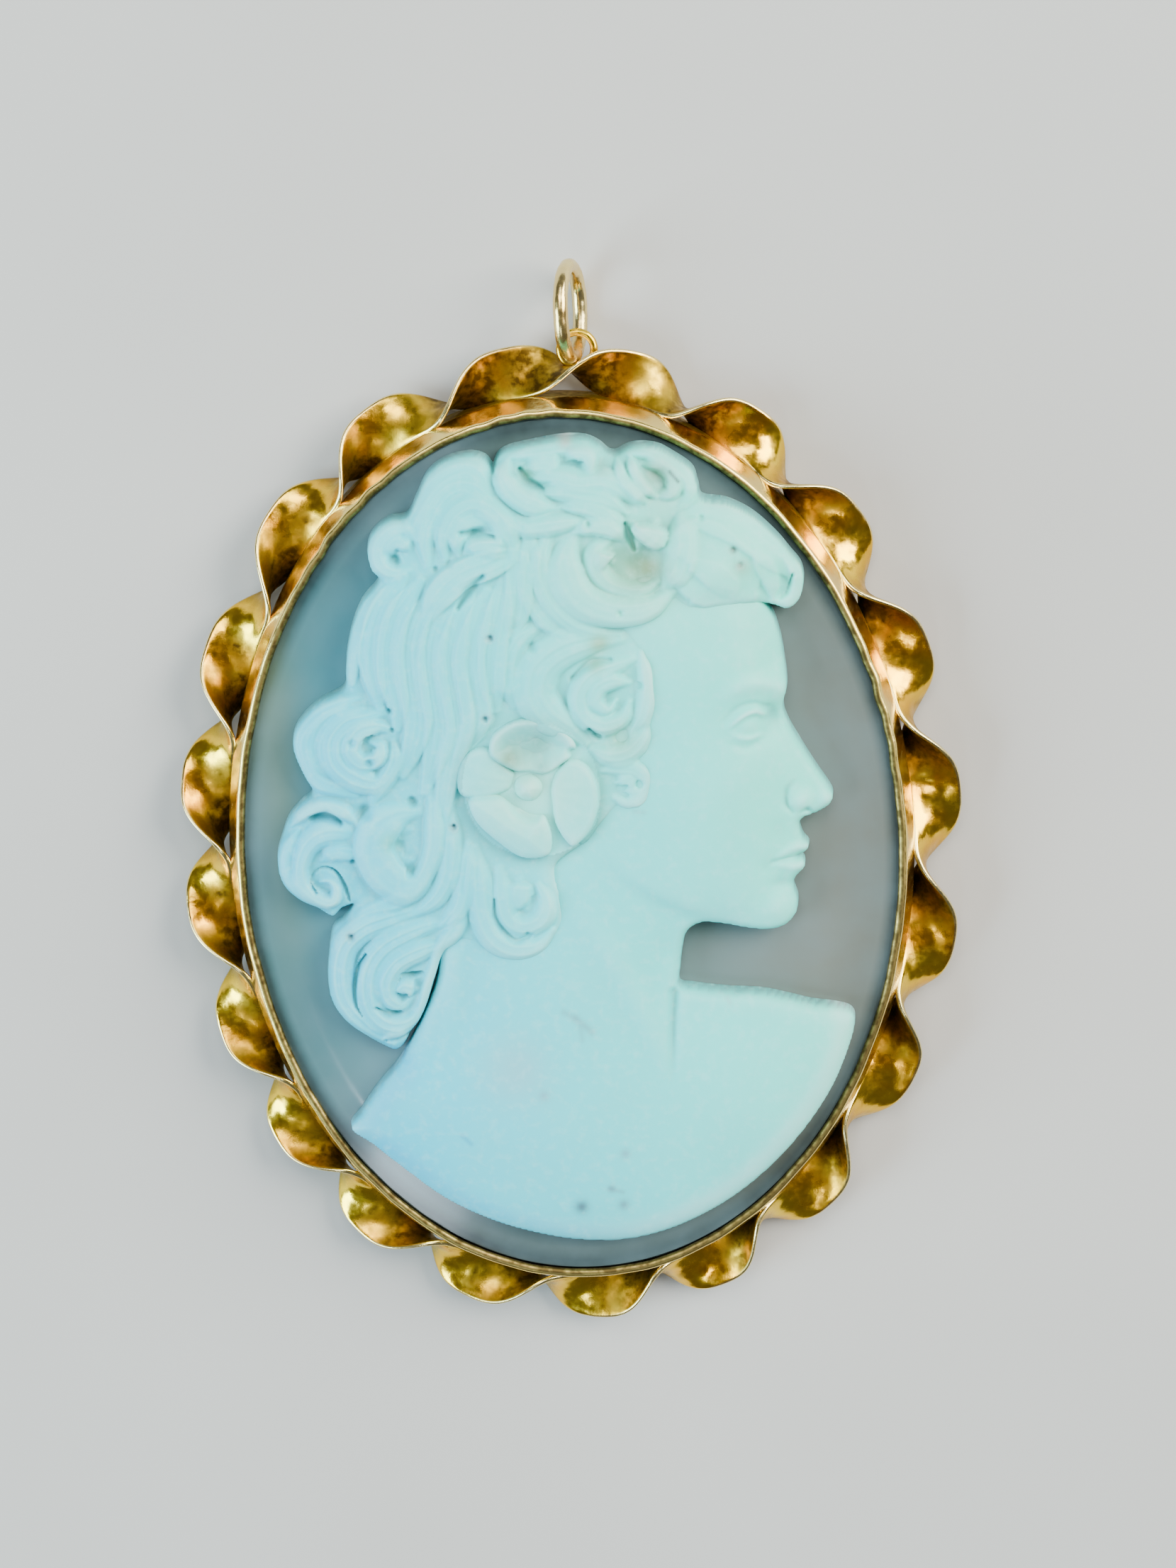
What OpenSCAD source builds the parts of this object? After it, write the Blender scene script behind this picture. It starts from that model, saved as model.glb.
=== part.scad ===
// Cameo pendant: an oval cameo in a plain gold bezel with a twisted ribbon border and a loose bail ring.
// It lies on its back on the plane z = 0. The face looks up along +Z and the bail is toward +Y.

/* [Stone] */
// Width of the oval stone
stone_w = 30; // [24:0.5:40]
// Height of the oval stone
stone_h = 40; // [32:0.5:54]
// How far the polished ground rises from its edge to its middle
dome_h = 0.6; // [0.3:0.1:1]
// Height of the highest carving above the middle of the ground
relief_h = 2.6; // [1.6:0.1:3.6]
// Width of the carving's turned-down edge
edge_round = 1.4; // [0.6:0.1:2.5]

/* [Bezel] */
// Height of the bezel from its back to its rim
bezel_h = 3.6; // [3:0.1:5]
// Thickness of the bezel's wall
wall_t = 0.35; // [0.25:0.05:0.8]
// Height of the upper part of the wall that is pressed in over the stone
lip_h = 1.3; // [0.8:0.1:1.8]
// How far the rim leans in over the stone
lip_lean = 0.45; // [0.2:0.05:0.8]
// How far the edge of the stone lies below the rim
rim_stand = 0.25; // [0.1:0.05:0.5]
// Thickness of the ledge that the stone rests on
seat_t = 0.6; // [0.4:0.1:1]
// Width of that ledge
seat_w = 1.2; // [0.6:0.1:3]
// Clearance between the stone and its mount
stone_gap = 0.05; // [0.02:0.01:0.15]

/* [Ribbon] */
// Width of the twisted strip
ribbon_w = 2.4; // [1.6:0.1:3]
// Thickness of the strip
ribbon_t = 0.3; // [0.2:0.05:0.5]
// Height of the strip's middle line above the back
ribbon_z = 1.5; // [1.45:0.05:1.8]
// How deep the strip's edge is soldered into the bezel's wall
ribbon_bite = 0.12; // [0.08:0.01:0.2]

/* [Bail] */
// Thickness of the bail's wire
bail_wire = 0.65; // [0.5:0.05:0.7]
// Width of the bail ring over its wire
bail_w = 4.3; // [4:0.1:6]
// How much longer than wide the bail ring is
bail_longer = 0.3; // [0.1:0.1:3]
// How far the bail is turned about the pendant's long axis
bail_turn = 13; // [0:1:20]
// How far the bail sits to the right of the stone's long axis
bail_side = 1.4; // [1:0.1:1.8]
// Thickness of the wire of the eye that carries the bail
eye_wire = 0.35; // [0.3:0.05:0.5]
// How far the middle of the eye's wire sits outside the ribbon's middle line where it is soldered on
eye_sit = 0.15; // [0.1:0.01:0.25]
// Clearance round the bail's wire in the eye
eye_play = 0.25; // [0.2:0.01:0.4]
// Height of the eye above the back
eye_z = 1.3; // [1.1:0.1:1.6]

/* [Hidden] */
$fn = 96;
// Half turns of the ribbon begin at these angles, clockwise from the top of the oval
turn_at = [-6, 12.5, 31.5, 49.5, 68, 86, 104.5, 122, 142, 161, 180, 200, 218, 234, 249, 265, 280, 296, 315, 333];
// Sections along each half turn
turn_steps = 8;
// Gap between the two layers of the stone
layer_gap = 0.03;
// Gap between the bail and the surface that the pendant lies on
bail_lift = 0.04;
// Bands of the ground's dome
ground_rings = 5;
// Rows and columns of the carving, and how many of its columns share one on its back
carving_rows = 84;
carving_cols = 42;
back_step = 6;
// Least height of the carving before its edge is turned down
edge_top = 24;

// Half sizes of the stone and of the wall's outside
half_w = stone_w / 2;
half_h = stone_h / 2;
out_w = half_w + stone_gap + wall_t;
out_h = half_h + stone_gap + wall_t;
straight_h = bezel_h - lip_h;
edge_z = bezel_h - rim_stand;
// Lean of the wall at the stone's edge, and the stone's half width there
edge_w = half_w - lip_lean * (edge_z - straight_h) / lip_h;
dome_r = (edge_w * edge_w + dome_h * dome_h) / (2 * dome_h);
ground_z = edge_z + dome_h;
// Height that is cut off below to make the bezel's back flat
back_trim = 1;
// One hundredth of the stone's half width and half height, and of the relief's height
ux = half_w / 100;
uy = half_h / 100;
uz = relief_h / 100;

// Middle line of the ribbon
line_w = out_w - ribbon_bite + ribbon_w / 2;
line_h = out_h - ribbon_bite + ribbon_w / 2;

// The eye is soldered to the outside of the ribbon where the ribbon stands on edge
eye_r = (bail_wire + eye_wire) / 2 + eye_play;
eye_y = line_h * sqrt(1 - pow(bail_side / line_w, 2)) + eye_r + eye_sit;
bail_r = (bail_w - bail_wire) / 2;
bail_z = bail_lift + bail_wire / 2 + bail_r * cos(bail_turn);
// Ring centre above the eye, measured in the ring's own plane
bail_rise = (bail_z - eye_z) / cos(bail_turn);
bail_y = eye_y + sqrt(bail_r * bail_r - bail_rise * bail_rise);

// Angle of the ribbon's middle line after u half turns
function turn_angle(u) =
  let (n = len(turn_at), k = floor(u), lap = floor(k / n))
  let (a = turn_at[k - lap * n] + 360 * lap, next = floor((k + 1) / n))
  let (b = turn_at[k + 1 - next * n] + 360 * next)
  a + (b - a) * (u - k);
function line_point(t) = [line_w * sin(t), line_h * cos(t), ribbon_z];
function line_out(t) = let (v = [line_h * sin(t), line_w * cos(t), 0]) v / norm(v);
// The four corners of the strip's section after u half turns
function strip_section(u) =
  let (t = turn_angle(u), across = cos(180 * u) * line_out(t) - [0, 0, sin(180 * u)])
  let (up = sin(180 * u) * line_out(t) + [0, 0, cos(180 * u)])
  [for (q = [[1, 1], [-1, 1], [-1, -1], [1, -1]])
    line_point(t) + across * q[0] * ribbon_w / 2 + up * q[1] * ribbon_t / 2];
strip_count = len(turn_at) * turn_steps;
strip_rings = [for (i = [0:strip_count - 1]) strip_section(i / turn_steps)];

// The part is centred on its origin, with the bail counted in
all_x = [for (r = strip_rings) for (p = r) p[0]];
all_y = [for (r = strip_rings) for (p = r) p[1]];
bail_top = bail_y + bail_longer + bail_r + bail_wire / 2;
middle = [(min(all_x) + max(all_x)) / 2, (min(all_y) + bail_top) / 2, 0];

// Upright oval drum with half sizes a and b, whose half width is a2 at the top
module oval(a, b, h, a2) {
  scale([1, b / a, 1]) four_quarters([[0, 0], [a, 0], [a2, h], [0, h]]);
}

// Round body turned from an outline, a quarter turn at a time
module four_quarters(outline) {
  for (a = [0:90:270]) rotate([0, 0, a]) rotate_extrude(angle = 90) polygon(outline);
}

module bezel() {
  in_w = half_w + stone_gap;
  in_h = half_h + stone_gap;
  difference() {
    union() {
      translate([0, 0, -back_trim]) oval(out_w, out_h, straight_h + back_trim, out_w);
      translate([0, 0, straight_h]) oval(out_w, out_h, lip_h, out_w - lip_lean);
    }
    translate([0, 0, seat_t]) oval(in_w, in_h, straight_h - seat_t, in_w);
    translate([0, 0, straight_h]) oval(in_w, in_h, lip_h, in_w - lip_lean);
    translate([0, 0, -2 * back_trim])
      oval(in_w - seat_w, in_h - seat_w, seat_t + 3 * back_trim, in_w - seat_w);
    translate([-2 * out_w, -2 * out_h, -2 * back_trim]) cube([4 * out_w, 4 * out_h, 2 * back_trim]);
  }
}

module ribbon() {
  n = strip_count;
  faces_mid = [for (i = [0:n - 1]) for (j = [0, 2])
    (strip_rings[i][j] + strip_rings[i][j + 1]
      + strip_rings[(i + 1) % n][j] + strip_rings[(i + 1) % n][j + 1]) / 4];
  points = concat([for (r = strip_rings) each r], faces_mid);
  faces = [for (i = [0:n - 1]) for (j = [0:3])
    let (a = i * 4 + j, b = i * 4 + (j + 1) % 4)
    let (c = ((i + 1) % n) * 4 + (j + 1) % 4, d = ((i + 1) % n) * 4 + j, m = n * 4 + i * 2 + j / 2)
    each (j % 2 == 0 ? [[b, a, m], [c, b, m], [d, c, m], [a, d, m]] : [[c, b, a], [d, c, a]])];
  polyhedron(points, faces);
}

module eye() {
  translate([bail_side, eye_y, eye_z]) rotate_extrude() translate([eye_r, 0]) circle(d = eye_wire);
}

module mount() {
  color("gold") translate(-middle) union() {
    bezel();
    ribbon();
    eye();
  }
}

module bail() {
  color("gold") translate(-middle)
    translate([bail_side, bail_y, eye_z]) rotate([0, -bail_turn, 0]) translate([0, 0, bail_rise])
      rotate([0, 90, 0]) union() {
        rotate([0, 0, 180]) rotate_extrude(angle = 180) translate([bail_r, 0]) circle(d = bail_wire);
        translate([0, bail_longer, 0])
          rotate_extrude(angle = 180) translate([bail_r, 0]) circle(d = bail_wire);
        for (side = [-1, 1])
          translate([side * bail_r, 0, 0]) rotate([-90, 0, 0]) cylinder(d = bail_wire, h = bail_longer);
      }
}

// Outline of the polished ground from its edge to its middle, as a few straight bands on the dome's arc
ground_bands = [for (i = [ground_rings:-1:0]) let (r = edge_w * i / ground_rings)
  [r, ground_z - dome_r + sqrt(dome_r * dome_r - r * r)]];

module stone_ground() {
  foot = seat_t + stone_gap;
  color("slategray") translate(-middle) scale([1, half_h / half_w, 1])
    four_quarters(concat([[0, foot], [half_w, foot], [half_w, straight_h]], ground_bands));
}

// The carving is a sheet of rows from the bottom to the top of the figure. Each row runs from the figure's
// left outline to its right one. Places in its tables are in hundredths of the stone's half width and half
// height, and tops in hundredths of the relief's height.

// Outline of the figure: y, left, right
outline = [
  [-88, -10, 9], [-85, -27, 28], [-80, -40, 40], [-75, -49, 48], [-67, -60, 58], [-59, -68, 67],
  [-52, -64, 73], [-46, -58, 78], [-42, -60, 82], [-40, -64, 80], [-36, -69, 54], [-33.5, -71, 31],
  [-30, -72, 29], [-24, -71, 30], [-20, -68, 35], [-18, -66, 57], [-15, -63, 66], [-11, -65, 65],
  [-8, -78, 64], [-5, -84, 67], [-3, -86, 66], [0, -86, 69], [3, -84, 67], [5, -81, 72], [8, -77, 79],
  [13, -75, 76], [18, -78, 72], [25, -80, 68], [31, -77, 66], [36, -70, 67], [41, -64, 67], [48, -63, 65],
  [53, -61, 67], [57, -59, 75], [61, -57, 73], [65, -54, 67], [70, -55, 58], [75, -51, 51], [79, -41, 46],
  [85, -36, 43], [89, -30, 37], [92, -20, 28], [94.5, -9, 9]];

outline_low = outline[0][0];
outline_high = outline[len(outline) - 1][0];

// Rounded forms: x, y, half width, half height, top
masses = [
  [0, -56, 62, 32, 56], [52, -50, 34, 16, 44], [-5, -30, 40, 30, 66], [-2, -15, 34, 22, 70],
  [34, 14, 34, 26, 76], [42, 44, 27, 20, 64], [36, -6, 26, 14, 62], [58, -13, 10, 6, 52],
  [56, 36, 9, 4, 68], [68, 17, 9, 14, 52], [72, 9, 8, 4, 58], [63, -1, 7, 2.5, 58], [61, -6, 7, 2.5, 56],
  [53, 27.5, 7, 2.5, 70], [-7, 47, 56, 42, 78], [6, 78, 46, 16, 72], [-36, 18, 40, 26, 72],
  [-40, -14, 22, 24, 62], [50, 64, 24, 12, 70]];

// Combed hair: x, y, half width and half height of its patch, middle of its arcs, their spacing and depth
combed = [
  [-36, 44, 30, 26, 10, 20, 9, 12], [52, 64, 24, 10, 20, 40, 8, 9], [-38, -14, 16, 24, 40, -30, 8, 10]];

// Curls: x, y, radius in hundredths of the half width, start angle, turns (minus winds the other way), top
curls = [
  [-25, 77, 15, 30, 1.6, 90], [0, 86, 12, 200, 1.3, 82], [31, 83, 13, 120, 1.4, 84],
  [22, 66, 23, 60, 2.2, 100], [66, 58, 9, 160, -1.2, 74], [-47, 71, 8, 60, 1.2, 78],
  [-62, 28, 16, 100, 1.7, 86], [-74, -1, 12, 100, 1.5, 74], [-50, 1, 14, 60, 1.6, 86],
  [-55, -30, 17, 70, 1.7, 78], [11, 37, 19, 20, 2, 96], [21, 17, 10, 60, 1.3, 88],
  [-16, -11, 14, 120, 1.6, 84], [-12, 50, 13, 200, 1.4, 88]];

// Flower over the ear: x, y, reach of its petals in hundredths of the half width, petals, top
flower = [-10, 15, 20, 5, 96];

function mass_top(m, x, y) =
  let (q = 1 - pow((x - m[0]) / m[2], 2) - pow((y - m[1]) / m[3], 2)) q > 0 ? m[4] * sqrt(q) : 0;

// Waves on arcs round one middle, strongest in the middle of their patch
function comb(c, x, y) =
  let (q = 1 - pow((x - c[0]) / c[2], 2) - pow((y - c[1]) / c[3], 2))
  q > 0 ? c[7] * sqrt(q) * cos(360 * norm([x - c[4], (y - c[5]) * uy / ux]) / c[6]) : 0;

// A curl is a flat-topped button with a groove that winds inward on it
function curl_top(c, x, y) =
  let (dx = x - c[0], dy = (y - c[1]) * uy / ux, d = norm([dx, dy]) / c[2])
  d >= 1 ? 0 : c[5] * (0.72 + 0.28 * sqrt(1 - d * d))
    - 8 * (1 - cos(360 * abs(c[4]) * d - sign(c[4]) * (atan2(dy, dx) - c[3]) + 180)) * (1 - pow(d, 6));

// Petals round a middle button, each hollowed toward its rim
function flower_top(x, y) =
  let (dx = x - flower[0], dy = (y - flower[1]) * uy / ux, r = norm([dx, dy]), a = atan2(dy, dx))
  let (lobe = abs(cos(flower[3] * a / 2 + 20)), reach = flower[2] * (0.8 + 0.2 * lobe), d = r / reach)
  d >= 1 ? 0 : d < 0.25 ? flower[4] : flower[4] * (0.82 + 0.16 * d * lobe);

function max_of(list) = max(concat([0], list));
function sum_of(list) = list * [for (v = list) 1];

// Height of the carving above the middle of the ground, with its edge turned down
function carving(x, y, left, right) =
  let (forms = max_of([for (m = masses) mass_top(m, x, y)]) + sum_of([for (c = combed) comb(c, x, y)]))
  let (tops = max(forms, max_of([for (c = curls) curl_top(c, x, y)]), flower_top(x, y), edge_top))
  let (in_x = min(x - left, right - x) * ux, in_y = min(y - outline_low, outline_high - y) * uy)
  let (e = min(1, max(0, min(in_x, in_y)) / edge_round))
  uz * tops * (0.5 + 0.5 * sqrt(1 - pow(1 - e, 2)));

// Height of the polished ground
function ground_at(x, y) =
  ground_z - dome_r + sqrt(dome_r * dome_r - pow(x * ux, 2) - pow(y * uy * half_w / half_h, 2));

// Left and right outline of the figure at a height
function left_at(y) = lookup(y, [for (o = outline) [o[0], o[1]]]);
function right_at(y) = lookup(y, [for (o = outline) [o[0], o[2]]]);

module stone_relief() {
  n = carving_rows;
  k = carving_cols / back_step;
  rows = [for (i = [0:n - 1])
    let (y = outline_low + (outline_high - outline_low) * i / (n - 1)) [y, left_at(y), right_at(y)]];
  // Columns stand a little closer together toward the outline
  at = [for (j = [0:carving_cols]) let (f = j / carving_cols) 0.8 * f + 0.1 * (1 - cos(180 * f))];
  top = [for (r = rows) for (f = at) let (x = r[1] + (r[2] - r[1]) * f)
    [x * ux, r[0] * uy, ground_z + carving(x, r[0], r[1], r[2])]];
  back = [for (r = rows) for (j = [0:k]) let (x = r[1] + (r[2] - r[1]) * at[j * back_step])
    [x * ux, r[0] * uy, ground_at(x, r[0]) + layer_gap]];
  // Points to a row on top and on the back, the first point of the back, and the first of both last rows
  w = carving_cols + 1;
  b = k + 1;
  t0 = n * w;
  w_end = (n - 1) * w;
  b_end = t0 + (n - 1) * b;
  faces = concat(
    [for (i = [0:n - 2]) for (j = [0:carving_cols - 1]) let (p = i * w + j)
      each [[p, p + w, p + w + 1], [p, p + w + 1, p + 1]]],
    [for (i = [0:n - 2]) for (j = [0:k - 1]) let (p = t0 + i * b + j)
      each [[p, p + 1, p + b + 1], [p, p + b + 1, p + b]]],
    [for (i = [0:n - 2]) let (p = i * w, q = t0 + i * b) each [[p, q, q + b], [p, q + b, p + w]]],
    [for (i = [0:n - 2]) let (p = i * w + carving_cols, q = t0 + i * b + k)
      each [[p, q + b, q], [p, p + w, q + b]]],
    [for (j = [0:carving_cols - 1]) [j, j + 1, t0 + floor(j / back_step)]],
    [for (j = [0:k - 1]) [t0 + j, (j + 1) * back_step, t0 + j + 1]],
    [for (j = [0:carving_cols - 1]) [w_end + j + 1, w_end + j, b_end + floor(j / back_step)]],
    [for (j = [0:k - 1]) [w_end + (j + 1) * back_step, b_end + j, b_end + j + 1]]);
  color("azure") translate(-middle) polyhedron(concat(top, back), faces);
}

mount();
bail();
stone_ground();
stone_relief();
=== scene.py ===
# Cameo pendant: a pale bust carved on a grey-blue stone, in a gold bezel with a twisted ribbon border.
import bpy
import bmesh
import numpy as np
from mathutils import Matrix, Vector


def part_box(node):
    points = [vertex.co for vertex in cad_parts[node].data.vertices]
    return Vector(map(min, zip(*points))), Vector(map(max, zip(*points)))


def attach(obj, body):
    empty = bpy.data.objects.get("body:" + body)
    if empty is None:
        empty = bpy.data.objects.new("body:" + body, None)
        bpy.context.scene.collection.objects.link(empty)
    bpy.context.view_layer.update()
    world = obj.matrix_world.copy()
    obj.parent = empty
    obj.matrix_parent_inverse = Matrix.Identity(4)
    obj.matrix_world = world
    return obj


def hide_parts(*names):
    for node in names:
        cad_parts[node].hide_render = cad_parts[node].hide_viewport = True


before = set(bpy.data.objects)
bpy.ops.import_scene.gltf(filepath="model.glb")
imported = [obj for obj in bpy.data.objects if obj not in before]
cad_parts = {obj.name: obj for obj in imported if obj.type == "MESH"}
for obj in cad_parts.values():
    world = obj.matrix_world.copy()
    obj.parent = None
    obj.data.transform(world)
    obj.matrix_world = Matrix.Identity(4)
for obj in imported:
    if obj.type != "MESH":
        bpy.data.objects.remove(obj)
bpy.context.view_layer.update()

# Places are in millimetres from the middle of the stone's oval, x to the right and y up as the face is
# seen. Heights in the carving are above the middle of the polished ground.
stoneLow, stoneHigh = (np.array(v) * 1000 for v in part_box('stone_ground'))
ovalMiddle = np.array([(stoneLow[0] + stoneHigh[0]) / 2, (stoneLow[1] + stoneHigh[1]) / 2, 0])
halfW = (stoneHigh[0] - stoneLow[0]) / 2
halfH = (stoneHigh[1] - stoneLow[1]) / 2
groundTop = stoneHigh[2]


# A mesh piece from points in millimetres and arrays of quads or triangles. If its volume comes out
# below zero, its faces are turned round, so they always point outwards. The tint is a colour for each
# point, which the material reads.
def makePiece(name, points, faces, material, nodes, tint):
    points = np.asarray(points, float)
    volume = 0
    for group in faces:
        for k in range(1, group.shape[1] - 1):
            a, b, c = points[group[:, 0]], points[group[:, k]], points[group[:, k + 1]]
            volume += np.einsum('ij,ij->i', a, np.cross(b, c)).sum()
    if volume < 0:
        faces = [group[:, ::-1] for group in faces]
    mesh = bpy.data.meshes.new(name)
    mesh.vertices.add(len(points))
    mesh.vertices.foreach_set('co', ((points + ovalMiddle) * 0.001).astype(np.float32).ravel())
    corners = np.concatenate([group.ravel() for group in faces]).astype(np.int32)
    sizes = np.concatenate([np.full(len(group), group.shape[1]) for group in faces])
    mesh.loops.add(len(corners))
    mesh.loops.foreach_set('vertex_index', corners)
    mesh.polygons.add(len(sizes))
    mesh.polygons.foreach_set('loop_start', np.concatenate(([0], np.cumsum(sizes)[:-1])).astype(np.int32))
    mesh.update(calc_edges=True)
    mesh.shade_smooth()
    layer = mesh.color_attributes.new('tint', 'FLOAT_COLOR', 'POINT')
    colors = np.column_stack((tint, np.ones(len(tint))))
    layer.data.foreach_set('color', colors.astype(np.float32).ravel())
    piece = bpy.data.objects.new(name, mesh)
    bpy.context.scene.collection.objects.link(piece)
    mesh.materials.append(material)
    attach(piece, 'root')
    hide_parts(*nodes)
    return piece


# Quads between neighbouring rows and columns of a grid of points, numbered row by row
def gridFaces(rows, cols, closeRows=False, closeCols=False):
    i = np.arange(rows if closeRows else rows - 1)[:, None]
    j = np.arange(cols if closeCols else cols - 1)[None, :]
    nextI, nextJ = (i + 1) % rows, (j + 1) % cols
    corners = (i * cols + j, i * cols + nextJ, nextI * cols + nextJ, nextI * cols + j)
    return np.stack(corners, -1).reshape(-1, 4)


# A smooth curve through the given points: Catmull-Rom's formula, cut into pieces of about the given length
def smoothCurve(points, step=0.06, closed=False):
    p = np.array(points, float)
    ends = (p[-1:], p[:2]) if closed else (2 * p[:1] - p[1:2], 2 * p[-1:] - p[-2:-1])
    p = np.vstack((ends[0], p, ends[1]))
    a, b, c, d = p[:-3], p[1:-2], p[2:-1], p[3:]
    count = max(3, int(np.linalg.norm(c - b, axis=1).max() / step) + 1)
    t = np.linspace(0, 1, count, endpoint=False)[None, :, None]
    a, b, c, d = (v[:, None, :] for v in (a, b, c, d))
    q = 0.5 * (2 * b + (c - a) * t + (2 * a - 5 * b + 4 * c - d) * t ** 2 + (3 * b - a - 3 * c + d) * t ** 3)
    q = q.reshape(-1, p.shape[1])
    return q if closed else np.vstack((q, p[-2]))


# A straight-sided outline cut into pieces of about the given length
def cutLine(points, step):
    p = np.array(points, float)
    out = []
    for a, b in zip(p[:-1], p[1:]):
        count = max(1, int(np.linalg.norm(b - a) / step))
        out.append(a + (b - a) * np.linspace(0, 1, count, endpoint=False)[:, None])
    return np.vstack(out + [p[-1:]])


# Waves that never repeat visibly: a sum of sines with fixed turns, used for hand-made unevenness
def unevenness(x, y, scale, seed):
    rng = np.random.default_rng(seed)
    total = 0
    for k in range(6):
        angle = rng.uniform(0, 2 * np.pi)
        beat = scale * rng.uniform(0.6, 1.8)
        total = total + np.sin((x * np.cos(angle) + y * np.sin(angle)) * beat + rng.uniform(0, 6.3))
    return total / 6


# How far one angle is from another, from -180 to 180 degrees
def turnGap(angle, middle):
    return (angle - middle + 180) % 360 - 180


# Values laid evenly along a curve, read at a share of its length
def laidAlong(along, values):
    return np.interp(along, np.linspace(0, 1, len(values)), values)


# The fall of a quarter circle: nothing at a share of 0, its radius at 1
def quarterFall(share):
    return 1 - np.sqrt(1 - share ** 2)


# A colour moved toward another one by a share for each point
def mixed(tint, color, share):
    return tint + (np.array(color) - tint) * share


# A round wire along a closed path of points, with a radius for each point. Each section stands across the
# path, and the given side direction, made square to the path, is where it begins.
def wire(path, radius, side, sections):
    path = np.asarray(path, float)
    tangent = np.roll(path, -1, 0) - np.roll(path, 1, 0)
    tangent /= np.linalg.norm(tangent, axis=1)[:, None]
    a = side - (side * tangent).sum(1)[:, None] * tangent
    a /= np.linalg.norm(a, axis=1)[:, None]
    b = np.cross(tangent, a)
    turn = np.linspace(0, 2 * np.pi, sections, endpoint=False)
    ring = np.cos(turn)[None, :, None] * a[:, None, :] + np.sin(turn)[None, :, None] * b[:, None, :]
    points = path[:, None, :] + ring * np.broadcast_to(radius, len(path))[:, None, None]
    return points.reshape(-1, 3), gridFaces(len(path), sections, True, True)


# Materials

# A new material, its node tree and its shader
def newMaterial(name):
    material = bpy.data.materials.new(name)
    material.use_nodes = True
    tree = material.node_tree
    return material, tree, tree.nodes['Principled BSDF']


# Plain values for a node's sockets
def setInputs(node, values):
    for key, value in values.items():
        node.inputs[key].default_value = value


# A node with the given settings
def addNode(tree, kind, **settings):
    node = tree.nodes.new(kind)
    for key, value in settings.items():
        setattr(node, key, value)
    return node


def addNoise(tree, coords, scale, detail, rough=0.55):
    node = addNode(tree, 'ShaderNodeTexNoise')
    setInputs(node, {'Scale': scale, 'Detail': detail, 'Roughness': rough})
    tree.links.new(coords, node.inputs['Vector'])
    return node.outputs['Fac']


# A value that goes from out0 to out1 as another goes from low to high
def addRange(tree, value, low, high, out0, out1):
    node = addNode(tree, 'ShaderNodeMapRange')
    setInputs(node, {'From Min': low, 'From Max': high, 'To Min': out0, 'To Max': out1})
    tree.links.new(value, node.inputs['Value'])
    return node.outputs['Result']


# A sum or product of two values
def addMath(tree, operation, a, b, clamp=False):
    node = addNode(tree, 'ShaderNodeMath', operation=operation, use_clamp=clamp)
    tree.links.new(a, node.inputs[0])
    tree.links.new(b, node.inputs[1])
    return node.outputs[0]


# A mix of two colours by a linked share. A colour that isn't linked is set on the socket itself.
def addMix(tree, share, a, b):
    node = addNode(tree, 'ShaderNodeMix', data_type='RGBA', blend_type='MIX')
    for value, key in ((share, 0), (a, 6), (b, 7)):
        if isinstance(value, tuple):
            node.inputs[key].default_value = (*value, 1)
        else:
            tree.links.new(value, node.inputs[key])
    return node.outputs[2]


# A bump laid over the one before it, heights in metres
def addBump(tree, shader, height, strength, distance, before=None):
    node = addNode(tree, 'ShaderNodeBump')
    setInputs(node, {'Strength': strength, 'Distance': distance})
    tree.links.new(height, node.inputs['Height'])
    if before is not None:
        tree.links.new(before, node.inputs['Normal'])
    tree.links.new(node.outputs['Normal'], shader.inputs['Normal'])
    return node.outputs['Normal']


# Where a material's textures stand, and the tint of its piece
def coordsAndTint(tree):
    coords = addNode(tree, 'ShaderNodeTexCoord').outputs['Object']
    return coords, addNode(tree, 'ShaderNodeVertexColor', layer_name='tint').outputs['Color']


goldLook = dict(yellow=(1.0, 0.69, 0.045), deep=(0.92, 0.4, 0.01), grimeAndShade=(0.03, 0.012, 0.004),
                pale=(1.0, 0.84, 0.4), roughness=0.18, patchSize=420, fineSize=2600, scratchSize=9000)


# Worn gold: yellow with deeper patches and fine scratches. The tint's red says where brown grime and painted
# shade lie, its green where the yellow is deeper, on the ribbon as a painted reflection, and its blue where
# it is rubbed pale and painted with highlight.
def goldMaterial(name, look):
    material, tree, shader = newMaterial(name)
    coords, tint = coordsAndTint(tree)
    split = addNode(tree, 'ShaderNodeSeparateColor')
    tree.links.new(tint, split.inputs['Color'])
    red, green, blue = (split.outputs[key] for key in ('Red', 'Green', 'Blue'))
    patches = addNoise(tree, coords, look['patchSize'], 5)
    fine = addNoise(tree, coords, look['fineSize'], 4)
    # The scratches are noise drawn out along one direction
    stretch = addNode(tree, 'ShaderNodeMapping')
    setInputs(stretch, {'Scale': (1, 0.12, 0.4), 'Rotation': (0.3, 0.2, 0.7)})
    tree.links.new(coords, stretch.inputs['Vector'])
    scratches = addNoise(tree, stretch.outputs['Vector'], look['scratchSize'], 2)
    warm = addMath(tree, 'ADD', addRange(tree, patches, 0.42, 0.75, 0, 0.7), green, clamp=True)
    color = addMix(tree, warm, look['yellow'], look['deep'])
    color = addMix(tree, blue, color, look['pale'])
    grimeAndShadeShare = addMath(tree, 'MULTIPLY', red, addRange(tree, fine, 0.3, 0.6, 0.6, 1.0))
    color = addMix(tree, grimeAndShadeShare, color, look['grimeAndShade'])
    tree.links.new(color, shader.inputs['Base Color'])
    shader.inputs['Metallic'].default_value = 1
    uneven = addRange(tree, fine, 0.3, 0.7, look['roughness'] - 0.06, look['roughness'] + 0.1)
    roughness = addMath(tree, 'ADD', uneven, addRange(tree, red, 0, 1, 0, 0.3))
    tree.links.new(roughness, shader.inputs['Roughness'])
    normal = addBump(tree, shader, patches, 0.25, 0.0002)
    normal = addBump(tree, shader, fine, 0.12, 0.00006, normal)
    addBump(tree, shader, scratches, 0.1, 0.00002, normal)
    return material


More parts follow.
